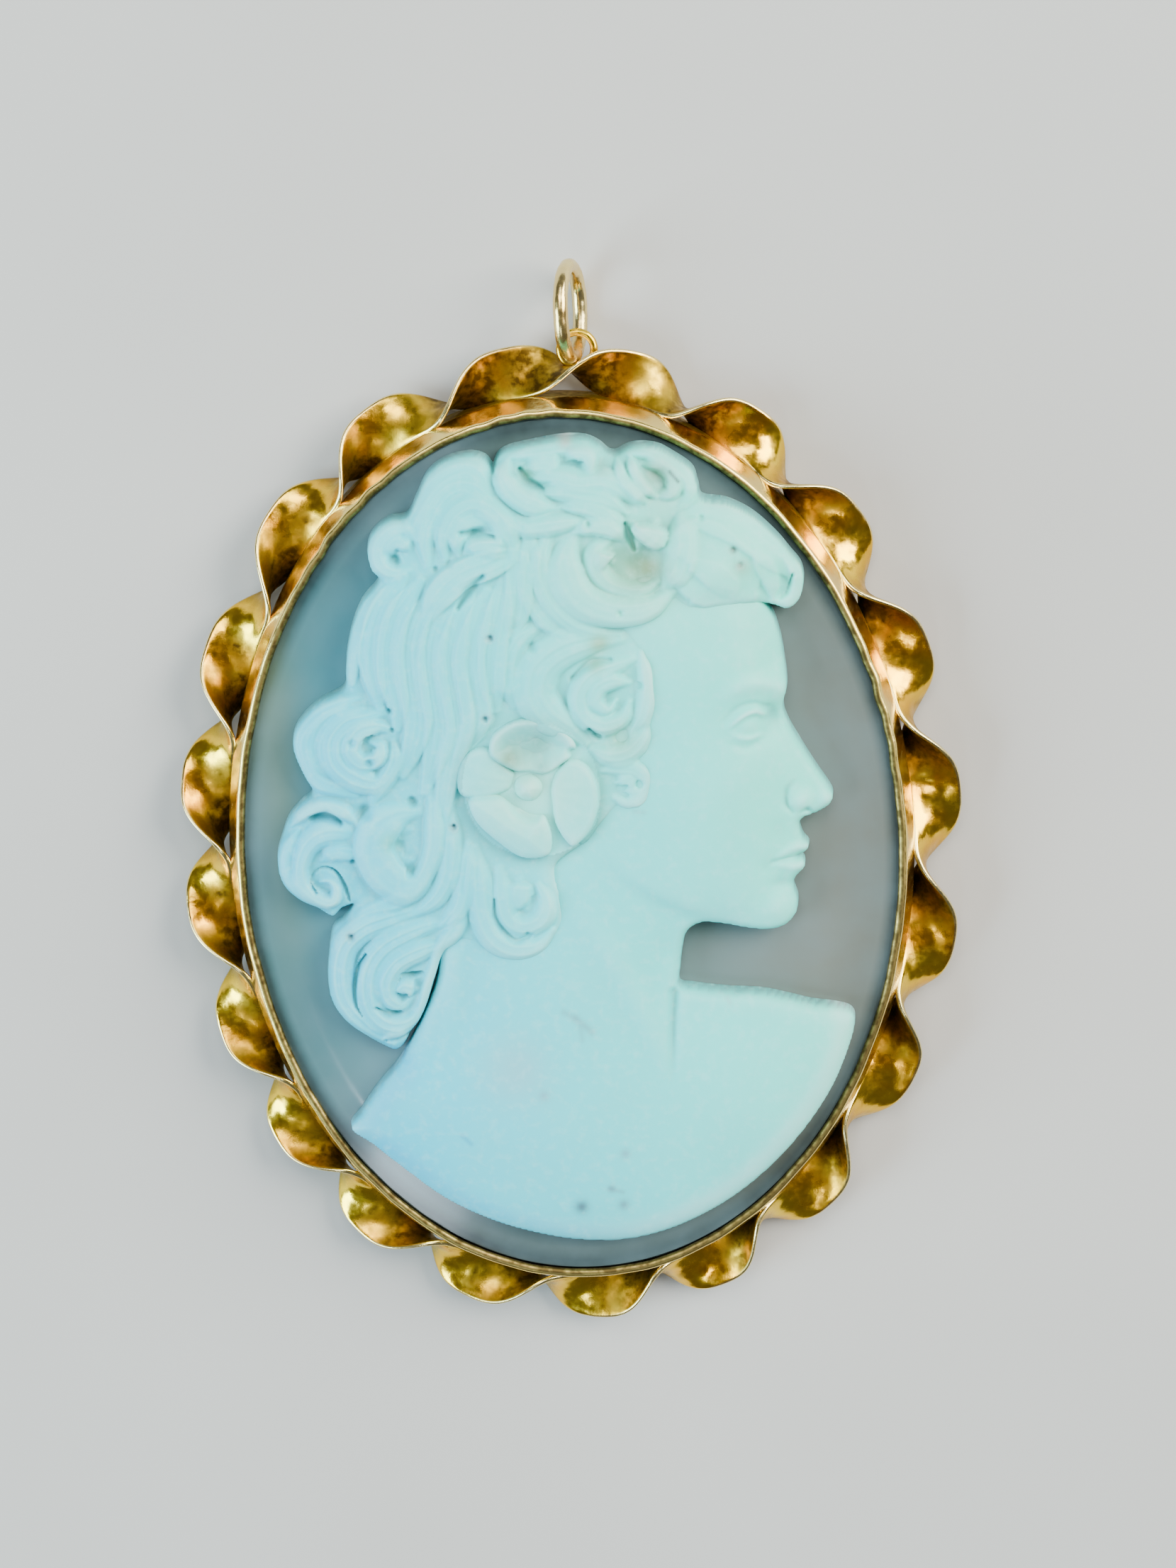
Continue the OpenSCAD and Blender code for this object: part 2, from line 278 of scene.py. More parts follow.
carvedLook = dict(clouds=(0.15, 0.7, 0.7), cloudSize=260, grain=(0.55, 0.95, 0.92), grainSize=2400,
                  smooth=0.34, rough=0.5)


# Carved layer: satin, a little translucent, its colour laid by place in the tint
def carvedMaterial(name, look):
    material, tree, shader = newMaterial(name)
    coords, tint = coordsAndTint(tree)
    clouds = addNoise(tree, coords, look['cloudSize'], 4)
    grain = addNoise(tree, coords, look['grainSize'], 3)
    color = addMix(tree, addRange(tree, clouds, 0.38, 0.72, 0, 0.25), tint, look['clouds'])
    color = addMix(tree, addRange(tree, grain, 0.5, 0.75, 0, 0.2), color, look['grain'])
    tree.links.new(color, shader.inputs['Base Color'])
    roughness = addRange(tree, grain, 0.3, 0.7, look['smooth'], look['rough'])
    tree.links.new(roughness, shader.inputs['Roughness'])
    setInputs(shader, {'Subsurface Weight': 0.35, 'Subsurface Radius': (0.8, 1.0, 1.0),
                       'Subsurface Scale': 0.0006, 'Specular IOR Level': 0.25})
    normal = addBump(tree, shader, clouds, 0.15, 0.0001)
    addBump(tree, shader, grain, 0.2, 0.00005, normal)
    return material


polishLook = dict(clouds=(0.16, 0.25, 0.28), cloudSize=180, smooth=0.12, rough=0.24)


# Polished ground: glossy, its colour laid by place in the tint with faint clouds
def groundMaterial(name, look):
    material, tree, shader = newMaterial(name)
    coords, tint = coordsAndTint(tree)
    clouds = addNoise(tree, coords, look['cloudSize'], 5)
    color = addMix(tree, addRange(tree, clouds, 0.3, 0.7, 0, 0.4), tint, look['clouds'])
    tree.links.new(color, shader.inputs['Base Color'])
    roughness = addRange(tree, clouds, 0.3, 0.7, look['smooth'], look['rough'])
    tree.links.new(roughness, shader.inputs['Roughness'])
    setInputs(shader, {'Subsurface Weight': 0.2, 'Subsurface Radius': (0.8, 1.0, 1.0),
                       'Subsurface Scale': 0.001, 'Coat Weight': 0.3, 'Coat Roughness': 0.08})
    addBump(tree, shader, clouds, 0.08, 0.00008)
    return material


mountGold = goldMaterial('MountGold', goldLook)
bailGold = goldMaterial('BailGold', dict(goldLook, yellow=(1.0, 0.8, 0.34), deep=(0.85, 0.5, 0.12)))
carvedStone = carvedMaterial('CarvedStone', carvedLook)
groundStone = groundMaterial('GroundStone', polishLook)
print('Materials ready')

# Bezel: a closed section swept round the oval. A point of the section stands off the stone's half width
# and half height by its first number, at the height of its second. The lip and rim waver a little, as
# they were pressed over the stone by hand.
bezelLook = dict(around=840, step=0.16, waver=0.035, facets=0.02)
bezelSection = [
    (0.28, 0.0), (0.37, 0.03), (0.4, 0.1), (0.4, 2.2), (0.385, 2.36), (0.0, 3.46), (-0.04, 3.55),
    (-0.1, 3.6), (-0.2, 3.615), (-0.3, 3.6), (-0.37, 3.54), (-0.4, 3.44), (-0.36, 3.3), (0.05, 2.3),
    (0.05, 0.6), (-1.12, 0.6), (-1.15, 0.56), (-1.15, 0.05), (-1.1, 0.0), (0.28, 0.0)]
# Waves of the lip: how many go round, share, start
lipWaves = [(7, 0.4, 0.3), (11, 0.5, 1.2), (19, 0.5, 2.2), (31, 0.4, 4.1), (53, 0.3, 0.6)]
# The hand shows most at these places: degrees clockwise from the top, reach
pressedAt = [(72, 9), (321, 12), (354, 7)]


def makeBezel(look):
    section = cutLine(bezelSection, look['step'])[:-1]
    t = np.linspace(0, 2 * np.pi, look['around'], endpoint=False)[:, None]
    off, z = section[None, :, 0], section[None, :, 1]
    high = np.clip((z - 2.0) / 1.5, 0, 1)
    wave = np.zeros_like(t)
    for beats, share, start in lipWaves:
        wave += share * np.sin(beats * t + start)
    for middle, reach in pressedAt:
        near = np.exp(-(turnGap(np.degrees(t), middle) / reach) ** 2)
        wave += near * (1.6 * np.sin(75 * t) + 0.8 * np.sin(43 * t + 1))
    waved = off + high * look['waver'] * wave * 0.6
    raised = z + high * look['facets'] * np.sin(37 * t + 2 * np.sin(5 * t)) * 0.7
    points = np.stack(((halfW + waved) * np.sin(t), (halfH + waved) * np.cos(t), raised), -1)
    # Painted shade lies along the stone, grime and painted shade in the corner below the lip's outside, and
    # the upper wall and lip are rubbed pale and painted paler where they catch the light
    inner = np.clip((-0.08 - off) / 0.08, 0, 1) * (z > 1)
    outer = np.clip((2.4 - z) / 0.4, 0, 1) * (off > 0.1)
    rough = unevenness(points[..., 0], points[..., 1], 3.0, 17)
    grimeAndShade = np.clip(0.9 * inner + (0.8 + 0.2 * rough) * outer, 0, 0.92)
    deeper = 0.25 * np.clip(rough, 0, 1)
    pale = np.clip((z - 2.3) / 0.3, 0, 0.5) + 0 * grimeAndShade
    tint = np.stack((grimeAndShade, deeper, pale), -1).reshape(-1, 3)
    faces = gridFaces(len(t), len(section), True, True)
    makePiece('Bezel', points.reshape(-1, 3), [faces], mountGold, ['mount'], tint)


makeBezel(bezelLook)

# Ribbon: a flat strip that turns round its own middle line as it goes round the bezel. Half turns begin at
# the given angles, in degrees clockwise from the top, where the strip lies flat. It hugs the bezel where it
# stands on edge, and lingers where it lies flat, by the given degrees of its twist.
ribbonLook = dict(width=2.4, thick=0.3, height=1.5, bite=0.12, wall=0.4, steps=48, cup=0.15, dents=0.06,
                  hug=0.6, linger=12.0)
turnAt = [
    -6, 12.5, 31.5, 49.5, 68, 86, 104.5, 122, 142, 161, 180, 200, 218, 234, 249, 265, 280, 296, 315, 333]
# Tool marks that both faces share: beats along a lobe and across it, share of the dents' depth, how much
# less they are at the edges, seed
ribbonDents = [(6.3, 2.2, 1.0, 0.6, 4), (17, 5, 0.5, 0.5, 9), (42, 11, 0.22, 0.0, 21)]


# Colours of the ribbon from where its points stand, mostly painted shade and painted reflections with some
# grime:
# along their lobe from -0.5 to 0.5, outward from the middle line from -1 to 1, round the pendant in degrees,
# and across the strip from -1 to 1
def ribbonShadeAndGrime(points, along, outward, turned, across):
    rough = unevenness(points[..., 0], points[..., 1], 2.6, 12)
    fine = unevenness(points[..., 0], points[..., 1], 7.0, 31)

    def around(middle, reach):
        return np.exp(-(turnGap(turned, middle) / reach) ** 4)

    def spot(alongAt, alongReach, outwardAt, outwardReach):
        return np.exp(-((along - alongAt) / alongReach) ** 2 - ((outward - outwardAt) / outwardReach) ** 2)

    right, left, low, top = around(95, 62), around(290, 58), around(208, 30), around(2, 24)
    # Painted shade: the half of a lobe that faces the bezel is dark, the other half is not darkened
    rising = 0.5 - 0.5 * np.tanh((along + 0.13 + 0.06 * rough) / 0.07)
    ending = 0.5 + 0.5 * np.tanh((along - 0.38) / 0.05)
    grimeAndShade = rising * (0.88 - 0.25 * left * (outward > 0.1)) + 0.5 * ending
    # Painted dark reflections in spots on the lobes at the right, the left, the bottom and the top
    grimeAndShade = grimeAndShade + right * 0.75 * spot(0.03, 0.06, 0.75, 0.35) * around(125, 40) * (1 + rough)
    leftSpots = 0.75 * spot(0.08, 0.1, -0.35, 0.5) + 0.5 * spot(-0.1, 0.15, -0.6, 0.4)
    grimeAndShade = grimeAndShade + left * leftSpots * (1 + 0.7 * rough)
    grimeAndShade = grimeAndShade + low * 0.9 * spot(0.0, 0.05, 0.1, 0.7) + top * (0.7 + 0.7 * rough)
    # Fine grime in patches, and painted shade low down near the floor
    grimeAndShade = grimeAndShade + 0.5 * np.clip(fine - 0.25, 0, 1) * (1 + rough)
    grimeAndShade = np.clip(grimeAndShade + 0.4 * np.clip(1.0 - points[..., 2], 0, 1), 0.02, 0.94)
    # The deeper orange toward the middle of each lobe is a painted reflection
    deeper = np.clip(0.9 - 3.2 * np.abs(along + 0.06) + 0.5 * rough, 0.2, 0.95) * (1 - 0.6 * low)
    # The strip's edges are rubbed pale and painted with highlight where they catch the light
    edge = np.clip((np.abs(across) - 0.92) / 0.04, 0, 0.9) + 0 * grimeAndShade
    return np.stack((grimeAndShade * (1 - edge), deeper, edge), -1).reshape(-1, 3)


def makeRibbon(look):
    half = look['width'] / 2
    lineW, lineH = (size + look['wall'] - look['bite'] + half for size in (halfW, halfH))
    count = len(turnAt) * look['steps']
    u = np.arange(count) / look['steps']
    # The angle of each step, softened over nine steps so that lobes of unequal lengths join smoothly
    angles = np.array(turnAt + [turnAt[0] + 360, turnAt[1] + 360], float)
    t = np.interp(u, np.arange(len(angles)), angles)
    wide = np.concatenate((t[-9:] - 360, t, t[:9] + 360))
    t = np.radians(np.convolve(wide, np.ones(9) / 9, 'same')[9:-9])
    line = np.stack((lineW * np.sin(t), lineH * np.cos(t), 0 * t + look['height']), 1)
    out = np.stack((lineH * np.sin(t), lineW * np.cos(t), 0 * t), 1)
    out /= np.linalg.norm(out, axis=1)[:, None]
    # It runs in toward the bezel where it stands on edge, except in the first half turn, below the eye
    line = line - out * (look['hug'] * np.sin(np.pi * u) ** 4 * (u >= 1))[:, None]
    up = np.array([0, 0, 1.0])
    # The strip lingers where it lies flat and turns over faster in between
    twist = (np.pi * u - np.radians(look['linger']) * np.sin(2 * np.pi * u))[:, None]
    across = np.cos(twist) * out - np.sin(twist) * up
    above = np.sin(twist) * out + np.cos(twist) * up
    # The section goes across one face, round an edge, back across the other and round the second edge
    flat = np.linspace(-1, 1, 19)
    bend = np.linspace(-np.pi / 2, np.pi / 2, 6)[1:-1]
    r = look['thick'] / 2
    inner = half - r
    x = np.concatenate((-flat * inner, -inner - r * np.cos(bend), flat * inner, inner + r * np.cos(bend)))
    y = np.concatenate((0 * flat + r, -r * np.sin(bend), 0 * flat - r, r * np.sin(bend)))
    q = x[None, :] / half
    share = u[:, None]
    # Hand-bent sheet: each lobe is dished as seen from above and dented by tool marks
    lift = -look['cup'] * (1 - q ** 2) * np.cos(np.pi * share)
    for beatsAlong, beatsAcross, deep, less, seed in ribbonDents:
        dent = unevenness(share * beatsAlong, q * beatsAcross, 1.0, seed)
        lift = lift + deep * look['dents'] * dent * (1 - less * q ** 2)
    # A sharper crease in one lobe on the right
    lift = lift + 0.14 * np.exp(-((share - 4.93) / 0.05) ** 2 - ((q - 0.25) / 0.7) ** 2)
    points = (line[:, None, :] + across[:, None, :] * x[None, :, None]
              + above[:, None, :] * (y[None, :] + lift)[:, :, None])
    along = (share + 0.5) % 1 - 0.5 + 0 * q
    outward = ((points - line[:, None, :]) * out[:, None, :]).sum(-1) / half
    tint = ribbonShadeAndGrime(points, along, outward, np.degrees(t)[:, None], q)
    # Both ends meet after whole turns, so the last section joins the first
    faces = gridFaces(count, len(x), True, True)
    makePiece('RibbonBorder', points.reshape(-1, 3), [faces], mountGold, ['mount'], tint)
    return lineW, lineH


lineW, lineH = makeRibbon(ribbonLook)

# Bail: a round wire bent to a long ring. It stands on the floor and is turned about the pendant's long
# axis. The eye is a small ring of thinner wire that lies flat and is soldered to the ribbon's outside.
bailLook = dict(wire=0.65, width=4.3, longer=0.3, turn=13, side=1.4, lift=0.04, eyeWire=0.35, play=0.25,
                eyeHeight=1.3, eyeSit=0.15, sides=28, eyeSides=24)


# The same share of grime and painted shade round each section of a wire, with half as much of the
# deeper yellow
def wireTint(grimeAndShade, sides):
    return np.repeat(grimeAndShade, sides)[:, None] * np.array([1.0, 0.5, 0])


def makeBail(look):
    eyeR = (look['wire'] + look['eyeWire']) / 2 + look['play']
    eyeY = lineH * np.sqrt(1 - (look['side'] / lineW) ** 2) + eyeR + look['eyeSit']
    turn = np.radians(look['turn'])
    bailR = (look['width'] - look['wire']) / 2
    rise = (look['lift'] + look['wire'] / 2 + bailR * np.cos(turn) - look['eyeHeight']) / np.cos(turn)
    alongY = np.array([0, 1.0, 0])
    upright = np.array([-np.sin(turn), 0, np.cos(turn)])
    foot = np.array([look['side'], eyeY + np.sqrt(bailR ** 2 - rise ** 2), look['eyeHeight']])
    middle = foot + upright * rise
    # Path: half a circle, a straight side, half a circle and the other straight side
    a = np.linspace(0, np.pi, 60)
    ends = np.stack((np.cos(a), np.sin(a)), 1) * bailR
    flat = np.vstack((ends + [0, look['longer']], -ends))
    flat = np.vstack((flat, flat[:1]))
    flat = cutLine(flat, 0.09)[:-1]
    path = middle + flat[:, 1:] * alongY + flat[:, :1] * upright
    side = np.tile(np.cross(alongY, upright), (len(path), 1))
    t = np.linspace(0, 2 * np.pi, len(path), endpoint=False)
    radius = look['wire'] / 2 * (1 + 0.015 * np.sin(9 * t) + 0.012 * np.sin(23 * t + 1))
    points, faces = wire(path, radius, side, look['sides'])
    # A little grime all round the ring, and painted shade toward the eye
    tint = wireTint(0.12 + 0.2 * np.exp(-((path[:, 1] - eyeY) / 0.9) ** 2), look['sides'])
    makePiece('BailRing', points, [faces], bailGold, ['bail'], tint)
    # Eye, thickened with solder where it meets the ribbon
    t = np.linspace(0, 2 * np.pi, 120, endpoint=False)
    level = 0 * t + look['eyeHeight']
    path = np.stack((look['side'] + eyeR * np.sin(t), eyeY - eyeR * np.cos(t), level), 1)
    gap = (t + np.pi) % (2 * np.pi) - np.pi
    radius = look['eyeWire'] / 2 * (1 + 0.35 * np.exp(-(gap / 0.45) ** 2) + 0.01 * np.sin(13 * t))
    points, faces = wire(path, radius, np.tile([0, 0, 1.0], (len(t), 1)), look['eyeSides'])
    # Grime on the eye, and painted shade toward the solder where it meets the ribbon
    tint = wireTint(0.25 + 0.5 * np.exp(-(gap / 0.7) ** 2), look['eyeSides'])
    makePiece('BailEye', points, [faces], mountGold, ['mount'], tint)


makeBail(bailLook)
print('Bezel, ribbon, bail and eye done')

# Ground: a dome turned round the middle and stretched to the oval. From the middle the polished surface
# falls by the square of the distance, and near the rim a bevel falls more steeply.
groundLook = dict(around=288, rings=70, edge=0.976, edgeDrop=0.6, bevelAt=0.87, bevelDrop=0.36,
                  foot=0.65, girdle=2.3, blend=0.012)
# The cool colour is partly a painted reflection, and the rim colour is painted shadow
groundColors = dict(cool=(0.06, 0.23, 0.27), warm=(0.17, 0.17, 0.14), rim=(0.05, 0.06, 0.045),
                    green=(0.15, 0.19, 0.1))


def domeDrop(rho):
    look = groundLook
    inner = look['bevelDrop'] * (rho / look['bevelAt']) ** 2
    slope = (look['edgeDrop'] - look['bevelDrop']) / (look['edge'] - look['bevelAt'])
    outer = look['bevelDrop'] + slope * (rho - look['bevelAt'])
    soft = 0.5 + 0.5 * np.tanh((rho - look['bevelAt']) / look['blend'])
    return inner * (1 - soft) + outer * soft


def groundLevel(x, y):
    return -domeDrop(np.hypot(x / halfW, y / halfH))


# Cooler and paler on the left, partly the stone's own colour and partly a painted reflection of cool light,
# greyer and browner on the right, dark near the rim as painted shadow of the bezel, greener at the left edge
def groundTint(x, y):
    colors = groundColors
    left = np.clip(0.5 - x / 26 + y / 90, 0, 1)[:, None]
    tint = mixed(np.array(colors['warm']), colors['cool'], left)
    rho = np.hypot(x / halfW, y / halfH)[:, None]
    # Painted shadow of the bezel near the rim, stronger toward the top and bottom
    ends = np.clip(np.abs(y) / halfH - 0.55, 0, 0.45)[:, None] / 0.45
    rim = (0.35 + 0.55 * ends) * np.clip((rho - 0.78) / 0.14, 0, 1)
    tint = mixed(tint, colors['rim'], rim)
    # Painted shadow: a dark band just inside the lip
    tint = tint * (1 - 0.75 * np.clip((rho - 0.93) / 0.03, 0, 1))
    green = np.exp(-((x + 12.9) / 1.2) ** 2 - ((y - 4) / 8) ** 2)[:, None]
    return mixed(tint, colors['green'], 0.65 * green)


def makeGround(look):
    count, foot = look['around'], look['foot']
    rho = look['edge'] * np.sin(np.linspace(0, np.pi / 2, look['rings'] + 1)[1:])
    # Down over the dome, the upright girdle and the flat underside, whose middles are closed by fans
    section = np.vstack((np.stack((rho, groundTop - domeDrop(rho)), 1),
                         [(1.0, look['girdle']), (1.0, 1.4), (1.0, foot), (0.66, foot), (0.33, foot)]))
    t = np.linspace(0, 2 * np.pi, count, endpoint=False)
    x = halfW * section[:, :1] * np.sin(t)[None, :]
    y = halfH * section[:, :1] * np.cos(t)[None, :]
    z = section[:, 1:] + 0 * x
    points = np.stack((x, y, z), -1).reshape(-1, 3)
    points = np.vstack((points, [(0, 0, groundTop), (0, 0, foot)]))
    j = np.arange(count)
    last = (len(section) - 1) * count
    top = np.stack((np.full(count, len(points) - 2), (j + 1) % count, j), 1)
    low = np.stack((np.full(count, len(points) - 1), last + j, last + (j + 1) % count), 1)
    faces = gridFaces(len(section), count, False, True)
    tint = groundTint(points[:, 0], points[:, 1])
    makePiece('PolishedGround', points, [faces, top, low], groundStone,
              ['stone_ground'], tint)


makeGround(groundLook)
print('Ground done')

# Carving: shapes worked out as heights over the ground. Outside its outline a shape falls away this steeply.
steepness = 12


# Nearest point of a curve for each place: distance, side (left of the curve is positive) and share of the
# curve's length. It is looked for among the curve's own points, then moved along the curve's direction.
def nearestOnCurve(x, y, curve):
    length = np.hypot(*np.diff(curve, axis=0).T)
    share = np.concatenate(([0], np.cumsum(length))) / length.sum()
    flat = np.stack((x.ravel(), y.ravel()), 1)
    nearest = np.empty(len(flat), int)
    atOnce = 20000
    for start in range(0, len(flat), atOnce):
        part = flat[start:start + atOnce]
        gap = (part[:, :1] - curve[None, :, 0]) ** 2 + (part[:, 1:] - curve[None, :, 1]) ** 2
        nearest[start:start + atOnce] = gap.argmin(1)
    tangent = np.gradient(curve, axis=0)
    tangent /= np.hypot(*tangent.T)[:, None]
    off = flat - curve[nearest]
    t = tangent[nearest]
    lateral = t[:, 0] * off[:, 1] - t[:, 1] * off[:, 0]
    # Past an end of the curve the distance is the one to its end point
    inside = (nearest > 0) & (nearest < len(curve) - 1)
    dist = np.where(inside, np.abs(lateral), np.hypot(*off.T))
    gain = np.where(inside, (off * t).sum(1), 0) / length.sum()
    along = np.clip(share[nearest] + gain, 0, 1)
    return dist.reshape(x.shape), np.sign(lateral).reshape(x.shape), along.reshape(x.shape)


# The part of a grid whose columns and rows lie between the given limits, or None if there is none
def windowOf(x, y, low, high):
    rows = np.flatnonzero((y[:, 0] > low[1]) & (y[:, 0] < high[1]))
    cols = np.flatnonzero((x[0] > low[0]) & (x[0] < high[0]))
    if len(rows) and len(cols):
        return np.s_[rows[0]:rows[-1] + 1, cols[0]:cols[-1] + 1]


# The greater of two heights, with the crease between them rounded
def smoothMax(a, b, soft):
    return (a + b + np.sqrt((a - b) ** 2 + soft * soft)) / 2


# Height of a surface laid smoothly over given points: a thin plate's bending formula
def laidOver(points, x, y):
    p = np.array(points, float)
    n = len(p)

    def bend(r2):
        return np.where(r2 > 0, r2 * np.log(np.maximum(r2, 1e-12)), 0)

    gap = (p[:, None, 0] - p[None, :, 0]) ** 2 + (p[:, None, 1] - p[None, :, 1]) ** 2
    grid = np.zeros((n + 3, n + 3))
    grid[:n, :n] = bend(gap) + np.eye(n) * 0.02
    grid[:n, n:] = np.column_stack((np.ones(n), p[:, :2]))
    grid[n:, :n] = grid[:n, n:].T
    weight = np.linalg.solve(grid, np.concatenate((p[:, 2], np.zeros(3))))
    out = weight[n] + weight[n + 1] * x + weight[n + 2] * y
    for k in range(n):
        out = out + weight[k] * bend((x - p[k, 0]) ** 2 + (y - p[k, 1]) ** 2)
    return out


# Signed distance to a closed outline, positive inside and worked out up to the given reach. A place is
# inside if a line from it to the right crosses the outline an odd number of times.
def insideDistance(x, y, outline, reach):
    curve = smoothCurve(outline, 0.1, closed=True)
    loop = np.vstack((curve, curve[:1]))
    inside = np.zeros(x.shape, bool)
    for a, b in zip(loop[:-1], loop[1:]):
        if a[1] == b[1]:
            continue
        cross = (a[1] > y) != (b[1] > y)
        inside ^= cross & (x < (b[0] - a[0]) * (y - a[1]) / (b[1] - a[1]) + a[0])
    far = np.full(x.shape, reach * reach)
    for a, b in zip(loop[:-1], loop[1:]):
        part = windowOf(x, y, np.minimum(a, b) - reach, np.maximum(a, b) + reach)
        if part is None:
            continue
        d = b - a
        t = np.clip(((x[part] - a[0]) * d[0] + (y[part] - a[1]) * d[1]) / (d @ d + 1e-12), 0, 1)
        gap = (x[part] - a[0] - t * d[0]) ** 2 + (y[part] - a[1] - t * d[1]) ** 2
        far[part] = np.minimum(far[part], gap)
    return np.where(inside, 1, -1) * np.sqrt(far)


# A soft ridge, or a groove if its rise is less than zero, along a curve
def ridge(x, y, points, width, rise):
    dist, side, along = nearestOnCurve(x, y, smoothCurve(points, 0.1))
    return laidAlong(along, rise) * np.exp(-(dist / laidAlong(along, width)) ** 2)


# A soft swelling, or a hollow if its rise is less than zero, with its long axis turned in degrees
def swell(x, y, cx, cy, rx, ry, turn, rise):
    a = np.radians(turn)
    u = (x - cx) * np.cos(a) + (y - cy) * np.sin(a)
    v = -(x - cx) * np.sin(a) + (y - cy) * np.cos(a)
    return rise * np.exp(-(u / rx) ** 2 - (v / ry) ** 2)


# Outline of the head and bust, clockwise from the brow
skinOutline = [
    (8.6, 11.6), (9.3, 10.6), (9.65, 9.4), (9.8, 8.2), (9.85, 7.1), (9.65, 6.2), (9.85, 5.4), (10.35, 4.4),
    (10.95, 3.3), (11.55, 2.3), (11.7, 1.85), (11.5, 1.45), (10.95, 1.15), (10.3, 0.95), (10.15, 0.6),
    (10.3, 0.05), (10.55, -0.3), (10.4, -0.6), (10.05, -0.76), (10.3, -0.98), (10.3, -1.35), (9.9, -1.75),
    (9.8, -2.15), (9.95, -2.75), (9.85, -3.35), (9.35, -3.85), (8.6, -4.0), (7.6, -3.85), (6.6, -3.6),
    (5.6, -3.5), (4.95, -3.9), (4.7, -4.7), (4.55, -5.6), (4.5, -6.35), (5.2, -6.55), (6.6, -6.8),
    (8.2, -6.98), (9.4, -7.3), (10.4, -7.6), (11.5, -7.8), (12.15, -8.05), (12.3, -8.5), (12.1, -9.3),
    (11.5, -10.7), (10.8, -11.9), (9.7, -13.3), (8.4, -14.6), (7.0, -15.7), (5.4, -16.6), (3.4, -17.35),
    (1.4, -17.7), (-0.6, -17.6), (-2.6, -17.15), (-4.6, -16.45), (-6.6, -15.4), (-8.4, -14.0),
    (-9.7, -12.9), (-10.6, -12.2), (-10.1, -11.5), (-9.2, -10.35), (-8.3, -9.4), (-7.7, -8.5), (-7.0, -7.2),
    (-6.2, -5.2), (-6.0, -2.0), (-5.0, 3.0), (-2.0, 8.0), (2.0, 12.0), (5.5, 13.0), (7.8, 12.4)]

# Broad heights of the skin: x, y, height
skinForm = [
    (8.9, 10.6, 1.3), (9.3, 8.6, 1.3), (9.45, 7.2, 1.45), (8.0, 10.3, 1.9), (8.2, 8.6, 2.05),
    (6.5, 9.8, 2.3), (6.5, 8.0, 2.4), (4.8, 9.0, 2.4), (5.0, 11.8, 2.2), (8.2, 11.8, 1.5), (2.5, 9.5, 2.1),
    (0.0, 6.0, 1.8), (8.6, 6.4, 1.85), (7.0, 6.3, 2.2), (5.5, 6.0, 2.35), (9.4, 5.5, 1.25),
    (10.2, 4.2, 1.0), (10.8, 2.9, 1.0), (11.4, 1.8, 0.95), (9.6, 3.6, 1.35), (9.7, 2.4, 1.35),
    (8.6, 4.2, 1.8), (7.6, 3.4, 2.25), (6.2, 3.0, 2.5), (4.6, 3.4, 2.42), (3.2, 4.5, 2.15), (8.4, 2.2, 1.9),
    (7.2, 1.2, 2.25), (5.5, 0.6, 2.4), (3.5, 1.2, 2.2), (9.7, 0.3, 1.25), (8.8, 0.4, 1.65),
    (9.6, -0.8, 1.2), (8.7, -0.8, 1.6), (7.7, -0.4, 1.98), (9.2, -1.9, 1.3), (8.2, -1.8, 1.75),
    (9.2, -3.1, 1.25), (8.3, -3.2, 1.55), (7.2, -2.6, 1.9), (6.0, -1.6, 2.15), (4.0, -0.8, 2.15),
    (2.5, 0.0, 2.0), (6.8, -3.3, 1.65), (5.0, -2.7, 1.9), (3.2, -1.8, 1.95), (4.3, -4.6, 1.3),
    (3.9, -5.6, 1.35), (2.4, -4.5, 1.75), (1.0, -3.5, 1.85), (0.0, -5.5, 2.0), (-2.0, -6.0, 1.9),
    (-4.0, -6.0, 1.65), (-5.4, -6.5, 1.3), (3.0, -7.5, 1.7), (1.0, -8.0, 1.95), (-1.5, -9.0, 1.95),
    (-4.5, -9.0, 1.7), (-6.8, -8.8, 1.2), (4.1, -10.5, 1.75), (2.0, -12.0, 1.85), (-1.0, -12.5, 1.9),
    (-4.0, -12.0, 1.75), (-7.0, -11.0, 1.4), (-9.5, -11.8, 0.95), (6.0, -9.0, 1.5), (8.5, -9.0, 1.3),
    (11.0, -9.0, 1.0), (7.0, -12.0, 1.5), (10.0, -11.5, 1.05), (4.0, -15.0, 1.3), (0.0, -15.5, 1.35),
    (-4.0, -14.8, 1.3), (-7.5, -13.2, 1.1), (0.0, -17.3, 0.8), (6.5, -15.0, 0.95), (5.2, -6.9, 1.2),
    (8.5, -7.5, 1.1), (11.5, -8.3, 0.85)]

